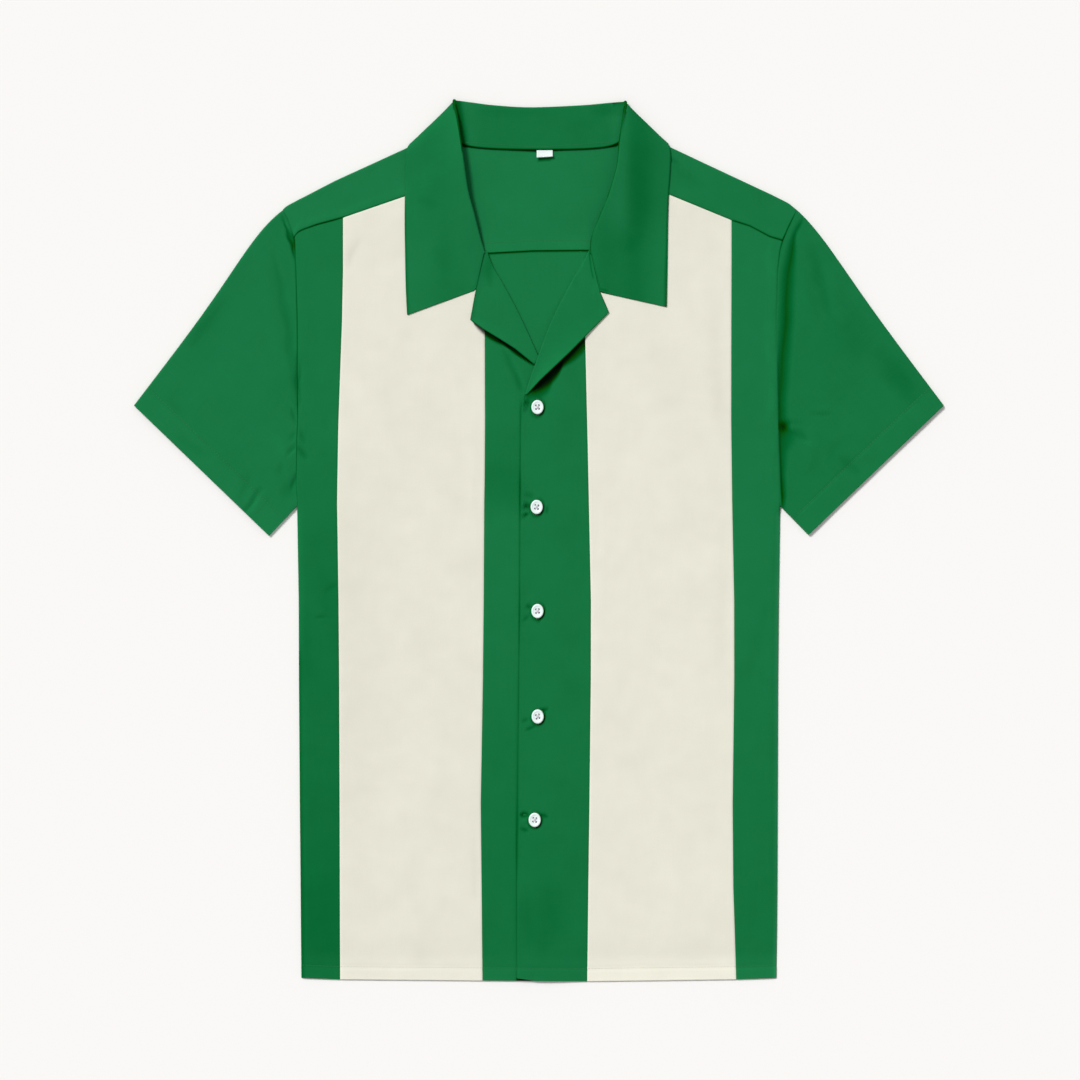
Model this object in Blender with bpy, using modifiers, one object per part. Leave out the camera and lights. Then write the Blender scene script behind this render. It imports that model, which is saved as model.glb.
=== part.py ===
"""Short-sleeved camp-collar shirt, buttoned and laid flat on its back.

Left and right are the wearer's. The shirt lies face up with its collar towards
+Y, so the wearer's right side is at -X. The tables are in millimetres, and the
meshes in metres. z = 0 is the surface that the back rests on.
"""

import math
from collections import namedtuple

import bmesh
import bpy
import numpy as np
from mathutils import Vector

MM = 0.001

WALL = 1.0  # thickness of every cloth wall
GAP = 0.3  # kept between pieces that are sewn or lie together
BACK_Z = 0.5  # middle of the back's wall, so that its underside is at 0
FRONT_Z = 3.6  # middle of the front's wall
EDGE_Z = 1.85  # middle of the front's wall where it meets the back at side and hem
NECK_YOKE_Z = 1.95  # middle of the back yoke where it lies on the collar's fall
OVERLAP_Z = 5.2  # middle of the left centre front where it lies on the right one
FALL_FADE = 152.0  # beyond this the yoke is back on the table
LAPEL_RISE = 16.0  # width over which a front rises to its lapel's roll line
BACK_YOKE_Y = 264.0  # seam between back and back yoke
UNDERLAP_X = 14.0  # hidden front edge of the right front
ARMPIT_Y = 32.0
NECK_X_R = -86.0  # where neckline and shoulder meet
NECK_X_L = 88.0
SIDE_CURL = 7.0  # width of the bend down to each side seam
HEM_REST = 45.0  # height over which the front sinks to the back at the hem
BACK_HEM_Y = -397.6  # the back's hem, a little inside the fronts'
CLEAR = 0.05  # a little more room, under bends and under the buttons
CAP_PEAK = 0.067  # greatest value of s (1 - s)**5, the shape of a sleeve's fullness
WELD = 0.02  # patches of one piece are merged within this

BUTTON_RADIUS = 6.25
BUTTON_HEIGHT = 2.6
BUTTON_DISH = 0.7  # depth of the middle under the rim
HOLE_RADIUS = 0.85
HOLE_OFFSET = 1.45  # of each hole from the button's middle, in x and in y

GREEN = (0.0095, 0.174, 0.055, 1.0)
CREAM = (0.80, 0.78, 0.66, 1.0)
PEARL = (0.80, 0.85, 0.84, 1.0)

# The upright lines of the body, as x at each y: side seams or armholes (side),
# the two seams of each cream panel (outer, inner) and the left front's edge.
Body = namedtuple("Body", "y side_r outer_r inner_r edge inner_l outer_l side_l")
BODY = [
    Body(-402, -216.1, -181.0, -51.4, -19.6, 44.0, 179.7, 216.1),
    Body(-315, -216.8, -181.2, -52.2, -19.6, 45.0, 176.9, 216.9),
    Body(-240, -217.5, -181.4, -53.0, -19.0, 46.0, 176.3, 217.2),
    Body(-125, -218.3, -181.8, -51.0, -17.8, 47.3, 177.8, 217.6),
    Body(-55, -218.5, -182.4, -50.3, -16.9, 47.4, 177.7, 218.3),
    Body(35, -219.5, -183.7, -49.8, -16.5, 45.5, 175.9, 219.6),
    Body(110, -219.2, -182.4, -49.3, -16.0, 43.9, 175.0, 217.5),
    Body(200, -220.1, -179.2, -49.7, -14.8, 41.8, 175.1, 216.3),
    Body(245, -221.0, -178.3, -49.6, -14.8, 42.0, 175.3, 217.2),
    Body(264, -221.4, -178.3, -49.5, -14.8, 42.0, 175.3, 219.4),
    Body(275, -221.9, -178.3, -49.5, -14.8, 42.0, 175.3, 222.4),
    Body(307, -226.8, -178.3, -49.5, -14.8, 42.0, 175.3, 236.6),
]

# Lines that run across, as y at each x.
Point = namedtuple("Point", "x y")
HEM = [
    Point(-216.0, -398.0),
    Point(-181.0, -399.3),
    Point(-51.5, -400.4),
    Point(44.0, -401.0),
    Point(179.5, -399.3),
    Point(216.0, -398.0),
]
# Right front's top: yoke seam, neckline, then the lapel's roll line.
TOP_RIGHT = [
    Point(-222.0, 276.0),
    Point(-201.0, 286.4),
    Point(-178.3, 294.1),
    Point(-122.3, 313.4),
    Point(-86.0, 327.0),
    Point(-66.0, 290.0),
    Point(-49.5, 261.0),
    Point(-37.2, 240.9),
    Point(-17.2, 204.5),
    Point(0.0, 168.0),
    Point(15.0, 150.0),
]
# Left front's top: the lapel's roll line, neckline, then yoke seam.
TOP_LEFT = [
    Point(-16.5, 118.0),
    Point(-12.6, 132.6),
    Point(-0.8, 167.2),
    Point(11.9, 200.8),
    Point(26.5, 230.0),
    Point(44.0, 261.5),
    Point(63.0, 290.0),
    Point(88.0, 328.0),
    Point(117.5, 315.5),
    Point(175.3, 291.8),
    Point(192.1, 286.4),
    Point(210.3, 276.7),
    Point(222.6, 273.0),
]
# Shoulder folds, and between them the back neckline.
SHOULDER = [
    Point(-226.8, 305.9),
    Point(-184.9, 327.7),
    Point(-118.0, 358.2),
    Point(-86.0, 373.0),
    Point(-70.0, 360.0),
    Point(0.0, 355.4),
    Point(70.0, 360.2),
    Point(88.0, 372.0),
    Point(119.0, 358.2),
    Point(212.1, 314.6),
    Point(227.6, 306.8),
    Point(236.6, 299.2),
]
# Outer edge of the collar's fall, which lies on the table under the back yoke.
FALL_EDGE = [
    Point(-114.0, 359.6),
    Point(-93.0, 344.0),
    Point(-50.0, 329.0),
    Point(0.0, 323.5),
    Point(48.0, 328.5),
    Point(94.0, 344.0),
    Point(115.0, 359.6),
]

# The collar, section by section from the right gorge round the back to the left
# one. Each section runs from the neck seam to the roll, and by a middle point to
# the outer edge. `out` is the side of the stand that the fall lies on, in degrees:
# 90 is above it at the fronts, -90 is under it at the back.
Section = namedtuple("Section", "neck roll middle edge out")
COLLAR = [
    Section((-51.5, 263.6, 5.1), (-49.1, 261.6, 7.8), (-57.6, 228.2, 7.0), (-119.6, 205.6, 5.5), 90),
    Section((-58.5, 277.0, 5.1), (-53.6, 276.4, 9.4), (-73.0, 250.0, 7.9), (-120.8, 232.0, 5.5), 90),
    Section((-68.0, 294.0, 5.1), (-58.6, 296.0, 11.2), (-82.0, 278.0, 8.6), (-121.4, 262.0, 5.5), 90),
    Section((-78.0, 311.0, 5.1), (-64.2, 317.0, 12.2), (-90.0, 303.0, 9.0), (-121.8, 290.0, 5.5), 90),
    Section((-85.0, 329.0, 5.1), (-67.8, 340.0, 12.2), (-95.0, 328.0, 9.0), (-122.0, 316.0, 5.5), 85),
    Section((-87.5, 347.0, 5.1), (-71.0, 364.0, 11.2), (-99.0, 351.0, 8.2), (-121.8, 337.0, 5.5), 75),
    Section((-87.5, 363.0, 5.1), (-74.4, 386.0, 8.8), (-101.0, 369.0, 7.0), (-121.4, 353.0, 5.6), 50),
    Section((-84.2, 376.0, 4.6), (-76.6, 399.4, 4.8), (-97.2, 381.2, 3.6), (-118.8, 361.6, 3.1), 0),
    Section((-78.6, 371.0, 3.9), (-74.0, 399.0, 2.6), (-93.0, 377.0, 0.8), (-114.0, 359.6, 0.6), -60),
    Section((-69.5, 361.6, 3.4), (-62.5, 398.2, 1.9), (-78.0, 364.0, 0.5), (-93.0, 344.0, 0.5), -90),
    Section((-47.0, 357.6, 3.4), (-42.0, 396.4, 1.9), (-46.0, 360.0, 0.5), (-50.0, 329.0, 0.5), -90),
    Section((-2.0, 355.6, 3.4), (-8.0, 395.0, 1.9), (-4.0, 358.0, 0.5), (0.0, 323.5, 0.5), -90),
    Section((47.0, 357.4, 3.4), (38.0, 396.7, 1.9), (44.0, 360.0, 0.5), (48.0, 328.5, 0.5), -90),
    Section((69.5, 361.4, 3.4), (63.5, 398.2, 1.9), (79.0, 364.0, 0.5), (94.0, 344.0, 0.5), -90),
    Section((79.6, 370.6, 3.9), (76.8, 398.6, 2.6), (94.0, 377.0, 0.8), (115.0, 359.6, 0.6), -60),
    Section((86.0, 375.4, 4.6), (79.8, 398.8, 4.8), (98.2, 381.2, 3.6), (120.0, 362.4, 3.1), 0),
    Section((89.4, 363.0, 5.1), (76.4, 385.0, 8.8), (102.0, 369.0, 7.0), (121.2, 353.6, 5.7), 50),
    Section((89.4, 347.0, 5.1), (72.4, 363.0, 11.2), (99.0, 351.0, 8.2), (119.4, 337.0, 5.5), 75),
    Section((87.0, 329.0, 5.1), (69.0, 341.0, 12.2), (95.0, 328.0, 9.0), (118.0, 316.0, 5.5), 85),
    Section((78.0, 310.0, 5.1), (61.6, 314.0, 12.2), (89.0, 302.0, 9.0), (117.2, 292.0, 5.5), 90),
    Section((66.0, 292.0, 5.1), (52.8, 295.0, 11.2), (80.0, 279.0, 8.6), (116.8, 264.0, 5.5), 90),
    Section((56.0, 276.6, 5.1), (47.6, 276.6, 9.4), (69.0, 252.0, 7.9), (116.4, 238.0, 5.5), 90),
    Section((47.8, 263.8, 5.1), (46.6, 261.8, 7.8), (55.4, 226.4, 7.0), (116.0, 213.0, 5.5), 90),
]
ROLL_RADIUS = 1.4  # of the collar's fold along the roll line
ROLL_ANGLES = (-90, -30, 30, 90)
COLLAR_STEPS = 2  # sections made between two rows of the table

# Each lapel, section by section from the gorge down to the break: from its roll
# line, height z, out to its edge.
Lapel = namedtuple("Lapel", "roll roll_z edge edge_z")
LAPEL_RIGHT = [
    Lapel((-44.8, 256.0), 7.8, (-47.6, 255.0), 7.6),
    Lapel((-40.0, 247.0), 8.4, (-51.0, 241.6), 7.2),
    Lapel((-33.0, 234.6), 8.8, (-56.2, 223.2), 6.4),
    Lapel((-25.0, 220.6), 8.8, (-62.0, 201.2), 5.4),
    Lapel((-18.0, 207.4), 8.4, (-50.4, 191.2), 5.2),
    Lapel((-10.6, 191.4), 7.6, (-36.0, 182.4), 5.2),
    Lapel((-5.6, 180.0), 6.6, (-21.7, 173.6), 5.2),
    Lapel((-5.2, 170.0), 5.4, (-9.0, 163.4), 5.2),
]
LAPEL_LEFT = [
    Lapel((42.6, 256.6), 7.8, (45.4, 255.6), 7.6),
    Lapel((37.2, 247.0), 8.6, (48.2, 241.4), 7.2),
    Lapel((30.0, 234.6), 9.2, (53.4, 222.6), 6.4),
    Lapel((20.4, 217.6), 9.6, (63.4, 207.6), 5.4),
    Lapel((12.6, 201.4), 9.6, (50.0, 194.0), 5.4),
    Lapel((5.8, 183.0), 9.2, (31.0, 174.8), 6.0),
    Lapel((0.2, 167.6), 8.7, (15.4, 159.8), 7.0),
    Lapel((-6.0, 150.0), 8.0, (-0.4, 145.8), 7.5),
    Lapel((-11.4, 134.4), 7.1, (-10.2, 134.2), 7.1),
]

# Each sleeve: height of its shoulder end, outer and inner ends of the cuff edge,
# and what the shoulder side stands proud of a straight line near the top.
Sleeve = namedtuple("Sleeve", "shoulder_y cuff_outer cuff_inner fullness")
SLEEVE_RIGHT = Sleeve(305.4, (-368.1, 123.1), (-245.6, 5.0), 4.4)
SLEEVE_LEFT = Sleeve(301.0, (368.1, 123.1), (245.5, 5.8), 3.0)

# The deepest folds of the front: a trough or ridge from one end to the other.
Fold = namedtuple("Fold", "start end width height")
FOLDS = [
    Fold((225.0, 262.0), (223.5, 60.0), 9.0, -1.2),
    Fold((-226.0, 292.0), (-223.0, 250.0), 7.0, -0.9),
    Fold((233.0, 90.0), (262.0, 60.0), 9.0, 0.6),
    Fold((-240.0, 60.0), (-262.0, 92.0), 9.0, 0.5),
]

BUTTONS = [
    Point(-1.3, 121.4),
    Point(-2.0, 30.6),
    Point(-1.3, -64.0),
    Point(-1.1, -159.9),
    Point(-3.8, -253.9),
]

LABEL_CORNER = Point(-2.6, 347.8)
LABEL_SIZE = Point(15.4, 7.0)
LABEL_Z = 3.3


# ---------------------------------------------------------------- small helpers


def mix(start, end, share):
    return start + (end - start) * share


def ease(share):
    """0 to 1 with level ends, and flat outside."""
    share = min(1.0, max(0.0, share))
    return share * share * (3 - 2 * share)


def steps(count):
    return [index / count for index in range(count + 1)]


def shares(values, first, last, extra=()):
    """Where the values lie between first and last, so that two pieces bend together."""
    inside = [(value - first) / (last - first) for value in values]
    kept = [share for share in inside if 0.01 < share < 0.99]
    spaced = [share for share in extra if min(abs(share - other) for other in kept) > 0.02]
    return sorted([0.0, 1.0] + kept + spaced)


def body_x(line, y):
    return float(np.interp(y, [row.y for row in BODY], [getattr(row, line) for row in BODY]))


def across(points, x):
    """The y of a line that runs across the body."""
    return float(np.interp(x, [point.x for point in points], [point.y for point in points]))


def through(points, place):
    """A smooth curve through the points, at place 0 for the first and 1 for the last."""
    spans = len(points) - 1
    index = min(int(place * spans), spans - 1)
    share = place * spans - index
    start, end = points[index], points[index + 1]
    before = points[index - 1] if index > 0 else start * 2 - end
    after = points[index + 2] if index + 2 <= spans else end * 2 - start
    rise = (end - before) / 2
    square = before - start * 2.5 + end * 2 - after / 2
    cube = (start - end) * 1.5 + (after - before) / 2
    return start + rise * share + square * share**2 + cube * share**3


# ---------------------------------------------------------------- making meshes


def material(name, colour, roughness):
    made = bpy.data.materials.new(name)
    made.use_nodes = True
    shader = made.node_tree.nodes["Principled BSDF"]
    shader.inputs["Base Color"].default_value = colour
    shader.inputs["Roughness"].default_value = roughness
    shader.inputs["Metallic"].default_value = 0.0
    made.diffuse_color = colour
    return made


def add_patch(shape, columns, rows, place):
    """A grid whose point (column, row) goes to place(column, row), in millimetres."""
    made = bmesh.ops.create_grid(
        shape, x_segments=len(columns) - 1, y_segments=len(rows) - 1, size=1
    )
    for vertex in made["verts"]:
        column = round((vertex.co.x + 1) / 2 * (len(columns) - 1))
        row = round((vertex.co.y + 1) / 2 * (len(rows) - 1))
        vertex.co = Vector(place(columns[column], rows[row])) * MM


def cloth(name, patches, finish, collection):
    """One wall of cloth about the surface that the patches make together."""
    shape = bmesh.new()
    for columns, rows, place in patches:
        add_patch(shape, columns, rows, place)
    bmesh.ops.remove_doubles(shape, verts=shape.verts, dist=WELD * MM)
    bmesh.ops.recalc_face_normals(shape, faces=shape.faces)
    mesh = bpy.data.meshes.new(name)
    shape.to_mesh(mesh)
    shape.free()
    mesh.materials.append(finish)
    mesh.shade_smooth()
    piece = bpy.data.objects.new(name, mesh)
    collection.objects.link(piece)
    wall = piece.modifiers.new("Wall", "SOLIDIFY")
    wall.thickness = WALL * MM
    wall.offset = 0
    wall.use_even_offset = True
    return piece


# ---------------------------------------------------------------- body panels


def fold_height(x, y):
    """What the deepest folds add to the front's height."""
    height = 0.0
    for fold in FOLDS:
        start, end, spot = Vector(fold.start), Vector(fold.end), Vector((x, y))
        run = end - start
        along = (spot - start).dot(run) / run.length_squared
        aside = (spot - start - run * along).length / fold.width
        if 0 < along < 1 and aside < 1:
            height += fold.height * math.sin(math.pi * along) * (1 - ease(aside))
    return height


def front_z(x, y):
    """Middle of the front's wall: level, and down on the back at side seams and hem."""
    aside = min(x - body_x("side_r", y), body_x("side_l", y) - x)
    below_arm = ease((ARMPIT_Y + 30 - y) / 40)
    side = mix(1.0, ease(aside / SIDE_CURL), below_arm)
    hem = ease((y - across(HEM, x)) / HEM_REST)
    return mix(EDGE_Z, FRONT_Z, min(side, hem)) + fold_height(x, y)


def at_roll(height, table, x, y):
    """A front's height, raised where the cloth turns up into the lapel."""
    rows = sorted(table, key=lambda row: row.roll[1])
    ys = [row.roll[1] for row in rows]
    roll_x = float(np.interp(y, ys, [row.roll[0] for row in rows]))
    roll_z = float(np.interp(y, ys, [row.roll_z for row in rows]))
    below = ease(1 + (y - ys[0]) / (LAPEL_RISE / 2))
    room = max(0.0, roll_z - WALL - 2 * GAP - height)
    return height + room * below * ease(1 - abs(roll_x - x) / LAPEL_RISE)


def right_centre_z(x, y):
    return at_roll(front_z(x, y), LAPEL_RIGHT, x, y)


def left_centre_z(x, y):
    """The left centre front climbs from its seam onto the right one."""
    seam, edge = body_x("inner_l", y), body_x("edge", y)
    climb = ease((seam - x) / (seam - edge - 28))
    return at_roll(front_z(x, y) + (OVERLAP_Z - FRONT_Z) * climb, LAPEL_LEFT, x, y)


def panel(first_line, last_line, top, height):
    """Places the points of a panel between two upright lines, the hem and its top."""

    def place(column, row):
        y = mix(-400.0, 200.0, row)
        for _ in range(6):
            first, last = first_line(y) + GAP / 2, last_line(y) - GAP / 2
            x = mix(first, last, column)
            y = mix(across(HEM, x), across(top, x) - GAP / 2, row)
        return x, y, height(x, y)

    return place


def line(name):
    return lambda y: body_x(name, y)


def make_back(finish, collection):
    def place(column, row):
        y = mix(BACK_HEM_Y, BACK_YOKE_Y - GAP / 2, row)
        x = mix(body_x("side_r", y) + GAP / 2, body_x("side_l", y) - GAP / 2, column)
        return x, y, BACK_Z

    rows = shares([row.y for row in BODY], BACK_HEM_Y, BACK_YOKE_Y)
    cloth("back", [(steps(8), rows, place)], finish, collection)


def make_fronts(green, cream, collection):
    hem_rows = (0.025, 0.05, 0.09)
    upward = shares([row.y for row in BODY], -398.0, 276.0, hem_rows + (0.2, 0.3, 0.57, 0.75))
    near_seam = (0.04, 0.1, 0.17)

    def columns(top, first, last, extra=(0.25, 0.5, 0.75)):
        return shares([point.x for point in top], first, last, extra)

    def underlap(y):
        return UNDERLAP_X

    def add(name, first_line, last_line, top, sampling, finish, height):
        place = panel(first_line, last_line, top, height)
        cloth(name, [(sampling, upward, place)], finish, collection)

    side_columns = columns(TOP_RIGHT, -222.0, -178.3, near_seam)
    add("side_front_right", line("side_r"), line("outer_r"), TOP_RIGHT, side_columns, green, front_z)
    side_columns = columns(TOP_LEFT, 175.3, 222.6, [1 - share for share in near_seam])
    add("side_front_left", line("outer_l"), line("side_l"), TOP_LEFT, side_columns, green, front_z)
    panel_columns = columns(TOP_RIGHT, -178.3, -49.5)
    add("panel_right", line("outer_r"), line("inner_r"), TOP_RIGHT, panel_columns, cream, front_z)
    panel_columns = columns(TOP_LEFT, 42.0, 175.3)
    add("panel_left", line("inner_l"), line("outer_l"), TOP_LEFT, panel_columns, cream, front_z)
    centre = columns(TOP_RIGHT, -49.5, UNDERLAP_X)
    add("centre_front_right", line("inner_r"), underlap, TOP_RIGHT, centre, green, right_centre_z)
    centre = columns(TOP_LEFT, -14.8, 42.0)
    add("centre_front_left", line("edge"), line("inner_l"), TOP_LEFT, centre, green, left_centre_z)


# ---------------------------------------------------------------- yoke


def back_yoke_z(x, y):
    """The back yoke climbs from the table onto the collar's fall."""
    if abs(x) > FALL_FADE:
        return BACK_Z
    reach = across(FALL_EDGE, x) - y
    near = ease((FALL_FADE - abs(x)) / 30)
    return mix(BACK_Z, NECK_YOKE_Z, near * ease(1 - (reach - 14) / 40))


def make_yoke(finish, collection):
    neck_r, neck_l = 0.3, 0.7
    flap_r = [share * neck_r for share in shares([point.x for point in TOP_RIGHT], -222.0, NECK_X_R)]
    flap_l = [mix(neck_l, 1, share) for share in shares([point.x for point in TOP_LEFT], NECK_X_L, 222.6)]
    neck = [mix(neck_r, neck_l, share) for share in (0.1, 0.3, 0.5, 0.7, 0.9)]
    columns = flap_r + neck + flap_l

    def plan_x(column, y):
        """Between the armholes, with the neck edges of both flaps upright."""
        right, left = body_x("side_r", y) + GAP / 2, body_x("side_l", y) - GAP / 2
        return float(np.interp(column, [0, neck_r, neck_l, 1], [right, NECK_X_R, NECK_X_L, left]))

    def top_of(column):
        x = plan_x(column, 330.0)
        for _ in range(6):
            x = plan_x(column, across(SHOULDER, x))
        return x, across(SHOULDER, x)

    def back_place(column, row):
        top_x, top_y = top_of(column)
        reach = fold_radius(top_x, top_y)
        y = mix(BACK_YOKE_Y + GAP / 2, top_y - reach, row)
        x = plan_x(column, y)
        return x, y, back_yoke_z(x, y)

    def fold_radius(x, y):
        return (FRONT_Z - back_yoke_z(x, y)) / 2

    def fold_place(column, row):
        """Over the shoulder, then down the front to the yoke seam."""
        top_x, top_y = top_of(column)
        radius = fold_radius(top_x, top_y)
        if row <= 1:
            turn = math.pi * row
            y = top_y - radius + radius * math.sin(turn)
            return plan_x(column, y), y, FRONT_Z - radius - radius * math.cos(turn)
        seam = TOP_RIGHT if top_x < 0 else TOP_LEFT
        y = top_y - radius
        for _ in range(4):
            x = plan_x(column, y)
            y = mix(top_y - radius, across(seam, x) + GAP / 2, row - 1)
        return x, y, FRONT_Z + fold_height(x, y)

    over = [0, 0.25, 0.5, 0.75, 1, 1.2, 1.6, 2]
    patches = [
        (columns, [0, 0.13, 0.27, 0.45, 0.63, 0.8, 1], back_place),
        (flap_r, over, fold_place),
        (flap_l, over, fold_place),
    ]
    cloth("yoke", patches, finish, collection)


# ---------------------------------------------------------------- sleeves


def make_sleeve(name, sleeve, side, finish, collection):
    outer, inner = Vector(sleeve.cuff_outer), Vector(sleeve.cuff_inner)
    inset = math.copysign(GAP, outer.x)
    low = BACK_Z + CLEAR
    outward = Vector((math.copysign(0.8, outer.x), 0.6))
    radius = (FRONT_Z - low) / 2
    middle = (FRONT_Z + low) / 2

    def flat_place(down, along):
        """In plan: down 0 is the shoulder side and 1 the underarm."""
        y = mix(sleeve.shoulder_y, ARMPIT_Y, down)
        armhole = Vector((body_x(side, y) + inset, y))
        spot = mix(armhole, mix(outer, inner, down), along)
        proud = sleeve.fullness * along * (1 - along) ** 5 / CAP_PEAK * (1 - down)
        return spot + outward * proud

    def place(around, along):
        """Around 0 to 1 is the front, 1 to 2 the underarm fold, 2 to 3 the back."""
        width = (flat_place(1, along) - flat_place(0, along)).length
        end = radius / width
        if around <= 1:
            down, lift = mix(end, 1 - end, around), radius
        elif around <= 2:
            turn = math.pi * (around - 1)
            down, lift = 1 - end + end * math.sin(turn), radius * math.cos(turn)
        elif around <= 3:
            down, lift = mix(1 - end, end, around - 2), -radius
        else:
            turn = math.pi * (around - 3)
            down, lift = end - end * math.sin(turn), -radius * math.cos(turn)
        spot = flat_place(down, along)
        height = middle + lift
        if around < 1:
            height += fold_height(spot.x, spot.y) * ease(min(around, 1 - around) * 20)
        return spot.x, spot.y, height

    width = sleeve.shoulder_y - ARMPIT_Y
    armhole_ys = [row.y for row in BODY]
    across_front = [
        (share * width - radius) / (width - 2 * radius)
        for share in shares(armhole_ys, sleeve.shoulder_y, ARMPIT_Y, (0.05, 0.5, 0.95))[1:-1]
    ]
    turn = [0.25, 0.5, 0.75, 1]
    front = [0] + across_front + [1]
    back = [3 - share for share in reversed(across_front)] + [3]
    around = front + [1 + share for share in turn] + back + [3 + share for share in turn]
    along = [0, 0.03, 0.06, 0.1, 0.15, 0.25, 0.4, 0.6, 0.8, 1]
    cloth(name, [(around, along, place)], finish, collection)


# ---------------------------------------------------------------- collar


def collar_section(section):
    """Points from the neck seam over the roll to the outer edge."""
    neck, roll = Vector(section.neck), Vector(section.roll)
    middle, edge = Vector(section.middle), Vector(section.edge)
    away = (edge - roll) * Vector((1, 1, 0))
    lean = math.radians(section.out)
    out = away.normalized() * math.cos(lean) + Vector((0, 0, math.sin(lean)))
    tip = roll - neck
    tip = (tip - out * tip.dot(out)).normalized()
    centre = roll - tip * ROLL_RADIUS
    turn = [math.radians(angle) for angle in ROLL_ANGLES]
    bend = [centre + (tip * math.cos(a) + out * math.sin(a)) * ROLL_RADIUS for a in turn]
    stand = [mix(neck, bend[0], share) for share in (0, 0.5)]
    fall = [bend[-1], middle, edge]
    return stand + bend + [through(fall, share) for share in (0.25, 0.5, 0.75, 1)]


def make_collar(finish, collection):
    sections = [collar_section(section) for section in COLLAR]
    points = len(sections[0])

    def place(column, row):
        spot = through([section[round(row * (points - 1))] for section in sections], column)
        spot.z = max(spot.z, BACK_Z + CLEAR)
        return spot

    columns = steps((len(sections) - 1) * COLLAR_STEPS)
    cloth("collar", [(columns, steps(points - 1), place)], finish, collection)


# ---------------------------------------------------------------- lapels and label


def make_lapel(name, table, finish, collection):
    rolls = [Vector((*row.roll, row.roll_z)) for row in table]
    edges = [Vector((*row.edge, row.edge_z)) for row in table]

    def place(column, row):
        return mix(rolls[row], edges[row], column)

    cloth(name, [(steps(4), list(range(len(table))), place)], finish, collection)


def make_label(finish, collection):
    def place(column, row):
        x = LABEL_CORNER.x + LABEL_SIZE.x * column
        return x, LABEL_CORNER.y + LABEL_SIZE.y * row, LABEL_Z

    cloth("label", [(steps(2), steps(1), place)], finish, collection)


# ---------------------------------------------------------------- buttons


def button_profile():
    """Half of the section, down the outside from the middle of the top."""
    top, rim = BUTTON_HEIGHT, BUTTON_RADIUS
    return [
        (0.0, top - BUTTON_DISH),
        (rim * 0.56, top - BUTTON_DISH),
        (rim * 0.70, top),
        (rim * 0.90, top),
        (rim, top - 0.7),
        (rim, 0.9),
        (rim * 0.78, 0.0),
        (0.0, 0.0),
    ]


def button_mesh(finish):
    points = [(radius * MM, 0.0, z * MM) for radius, z in button_profile()]
    edges = [(index, index + 1) for index in range(len(points) - 1)]
    mesh = bpy.data.meshes.new("button")
    mesh.from_pydata(points, edges, [])
    mesh.materials.append(finish)
    return mesh


def hole_mesh():
    """Four round cutters, one for each hole."""
    shape = bmesh.new()
    for x in (-HOLE_OFFSET, HOLE_OFFSET):
        for y in (-HOLE_OFFSET, HOLE_OFFSET):
            made = bmesh.ops.create_cone(
                shape,
                cap_ends=True,
                segments=8,
                radius1=HOLE_RADIUS * MM,
                radius2=HOLE_RADIUS * MM,
                depth=3 * BUTTON_HEIGHT * MM,
            )
            bmesh.ops.translate(shape, verts=made["verts"], vec=Vector((x, y, 0)) * MM)
    mesh = bpy.data.meshes.new("holes")
    shape.to_mesh(mesh)
    shape.free()
    return mesh


def make_buttons(finish, collection, cutters):
    mesh, holes = button_mesh(finish), hole_mesh()
    for number, spot in enumerate(BUTTONS, 1):
        bottom = left_centre_z(spot.x, spot.y) + WALL / 2 + GAP + CLEAR
        button = bpy.data.objects.new(f"button_{number}", mesh)
        button.location = Vector((spot.x, spot.y, bottom)) * MM
        collection.objects.link(button)
        turned = button.modifiers.new("Turned", "SCREW")
        turned.steps = 20
        turned.render_steps = 20
        turned.use_merge_vertices = True
        turned.merge_threshold = 0.00005
        cutter = bpy.data.objects.new(f"holes_{number}", holes)
        cutter.location = button.location
        cutter.hide_render = True
        cutter.display_type = "WIRE"
        cutters.objects.link(cutter)
        cut = button.modifiers.new("Holes", "BOOLEAN")
        cut.operation = "DIFFERENCE"
        cut.object = cutter


# ---------------------------------------------------------------- the shirt


def clear_scene():
    for thing in list(bpy.data.objects):
        bpy.data.objects.remove(thing, do_unlink=True)


def new_collection(name):
    made = bpy.data.collections.new(name)
    bpy.context.scene.collection.children.link(made)
    return made


def main():
    clear_scene()
    shirt = new_collection("camp_collar_shirt")
    cutters = new_collection("cutters")
    green = material("green_cloth", GREEN, 0.85)
    cream = material("cream_cloth", CREAM, 0.85)
    pearl = material("button", PEARL, 0.25)
    tape = material("label_tape", PEARL, 0.7)
    make_back(green, shirt)
    make_fronts(green, cream, shirt)
    make_yoke(green, shirt)
    make_sleeve("sleeve_right", SLEEVE_RIGHT, "side_r", green, shirt)
    make_sleeve("sleeve_left", SLEEVE_LEFT, "side_l", green, shirt)
    make_collar(green, shirt)
    make_lapel("lapel_right", LAPEL_RIGHT, green, shirt)
    make_lapel("lapel_left", LAPEL_LEFT, green, shirt)
    make_buttons(pearl, shirt, cutters)
    make_label(tape, shirt)


main()
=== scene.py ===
import math

import bmesh
import bpy
import numpy as np
from mathutils import Matrix, Vector


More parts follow.
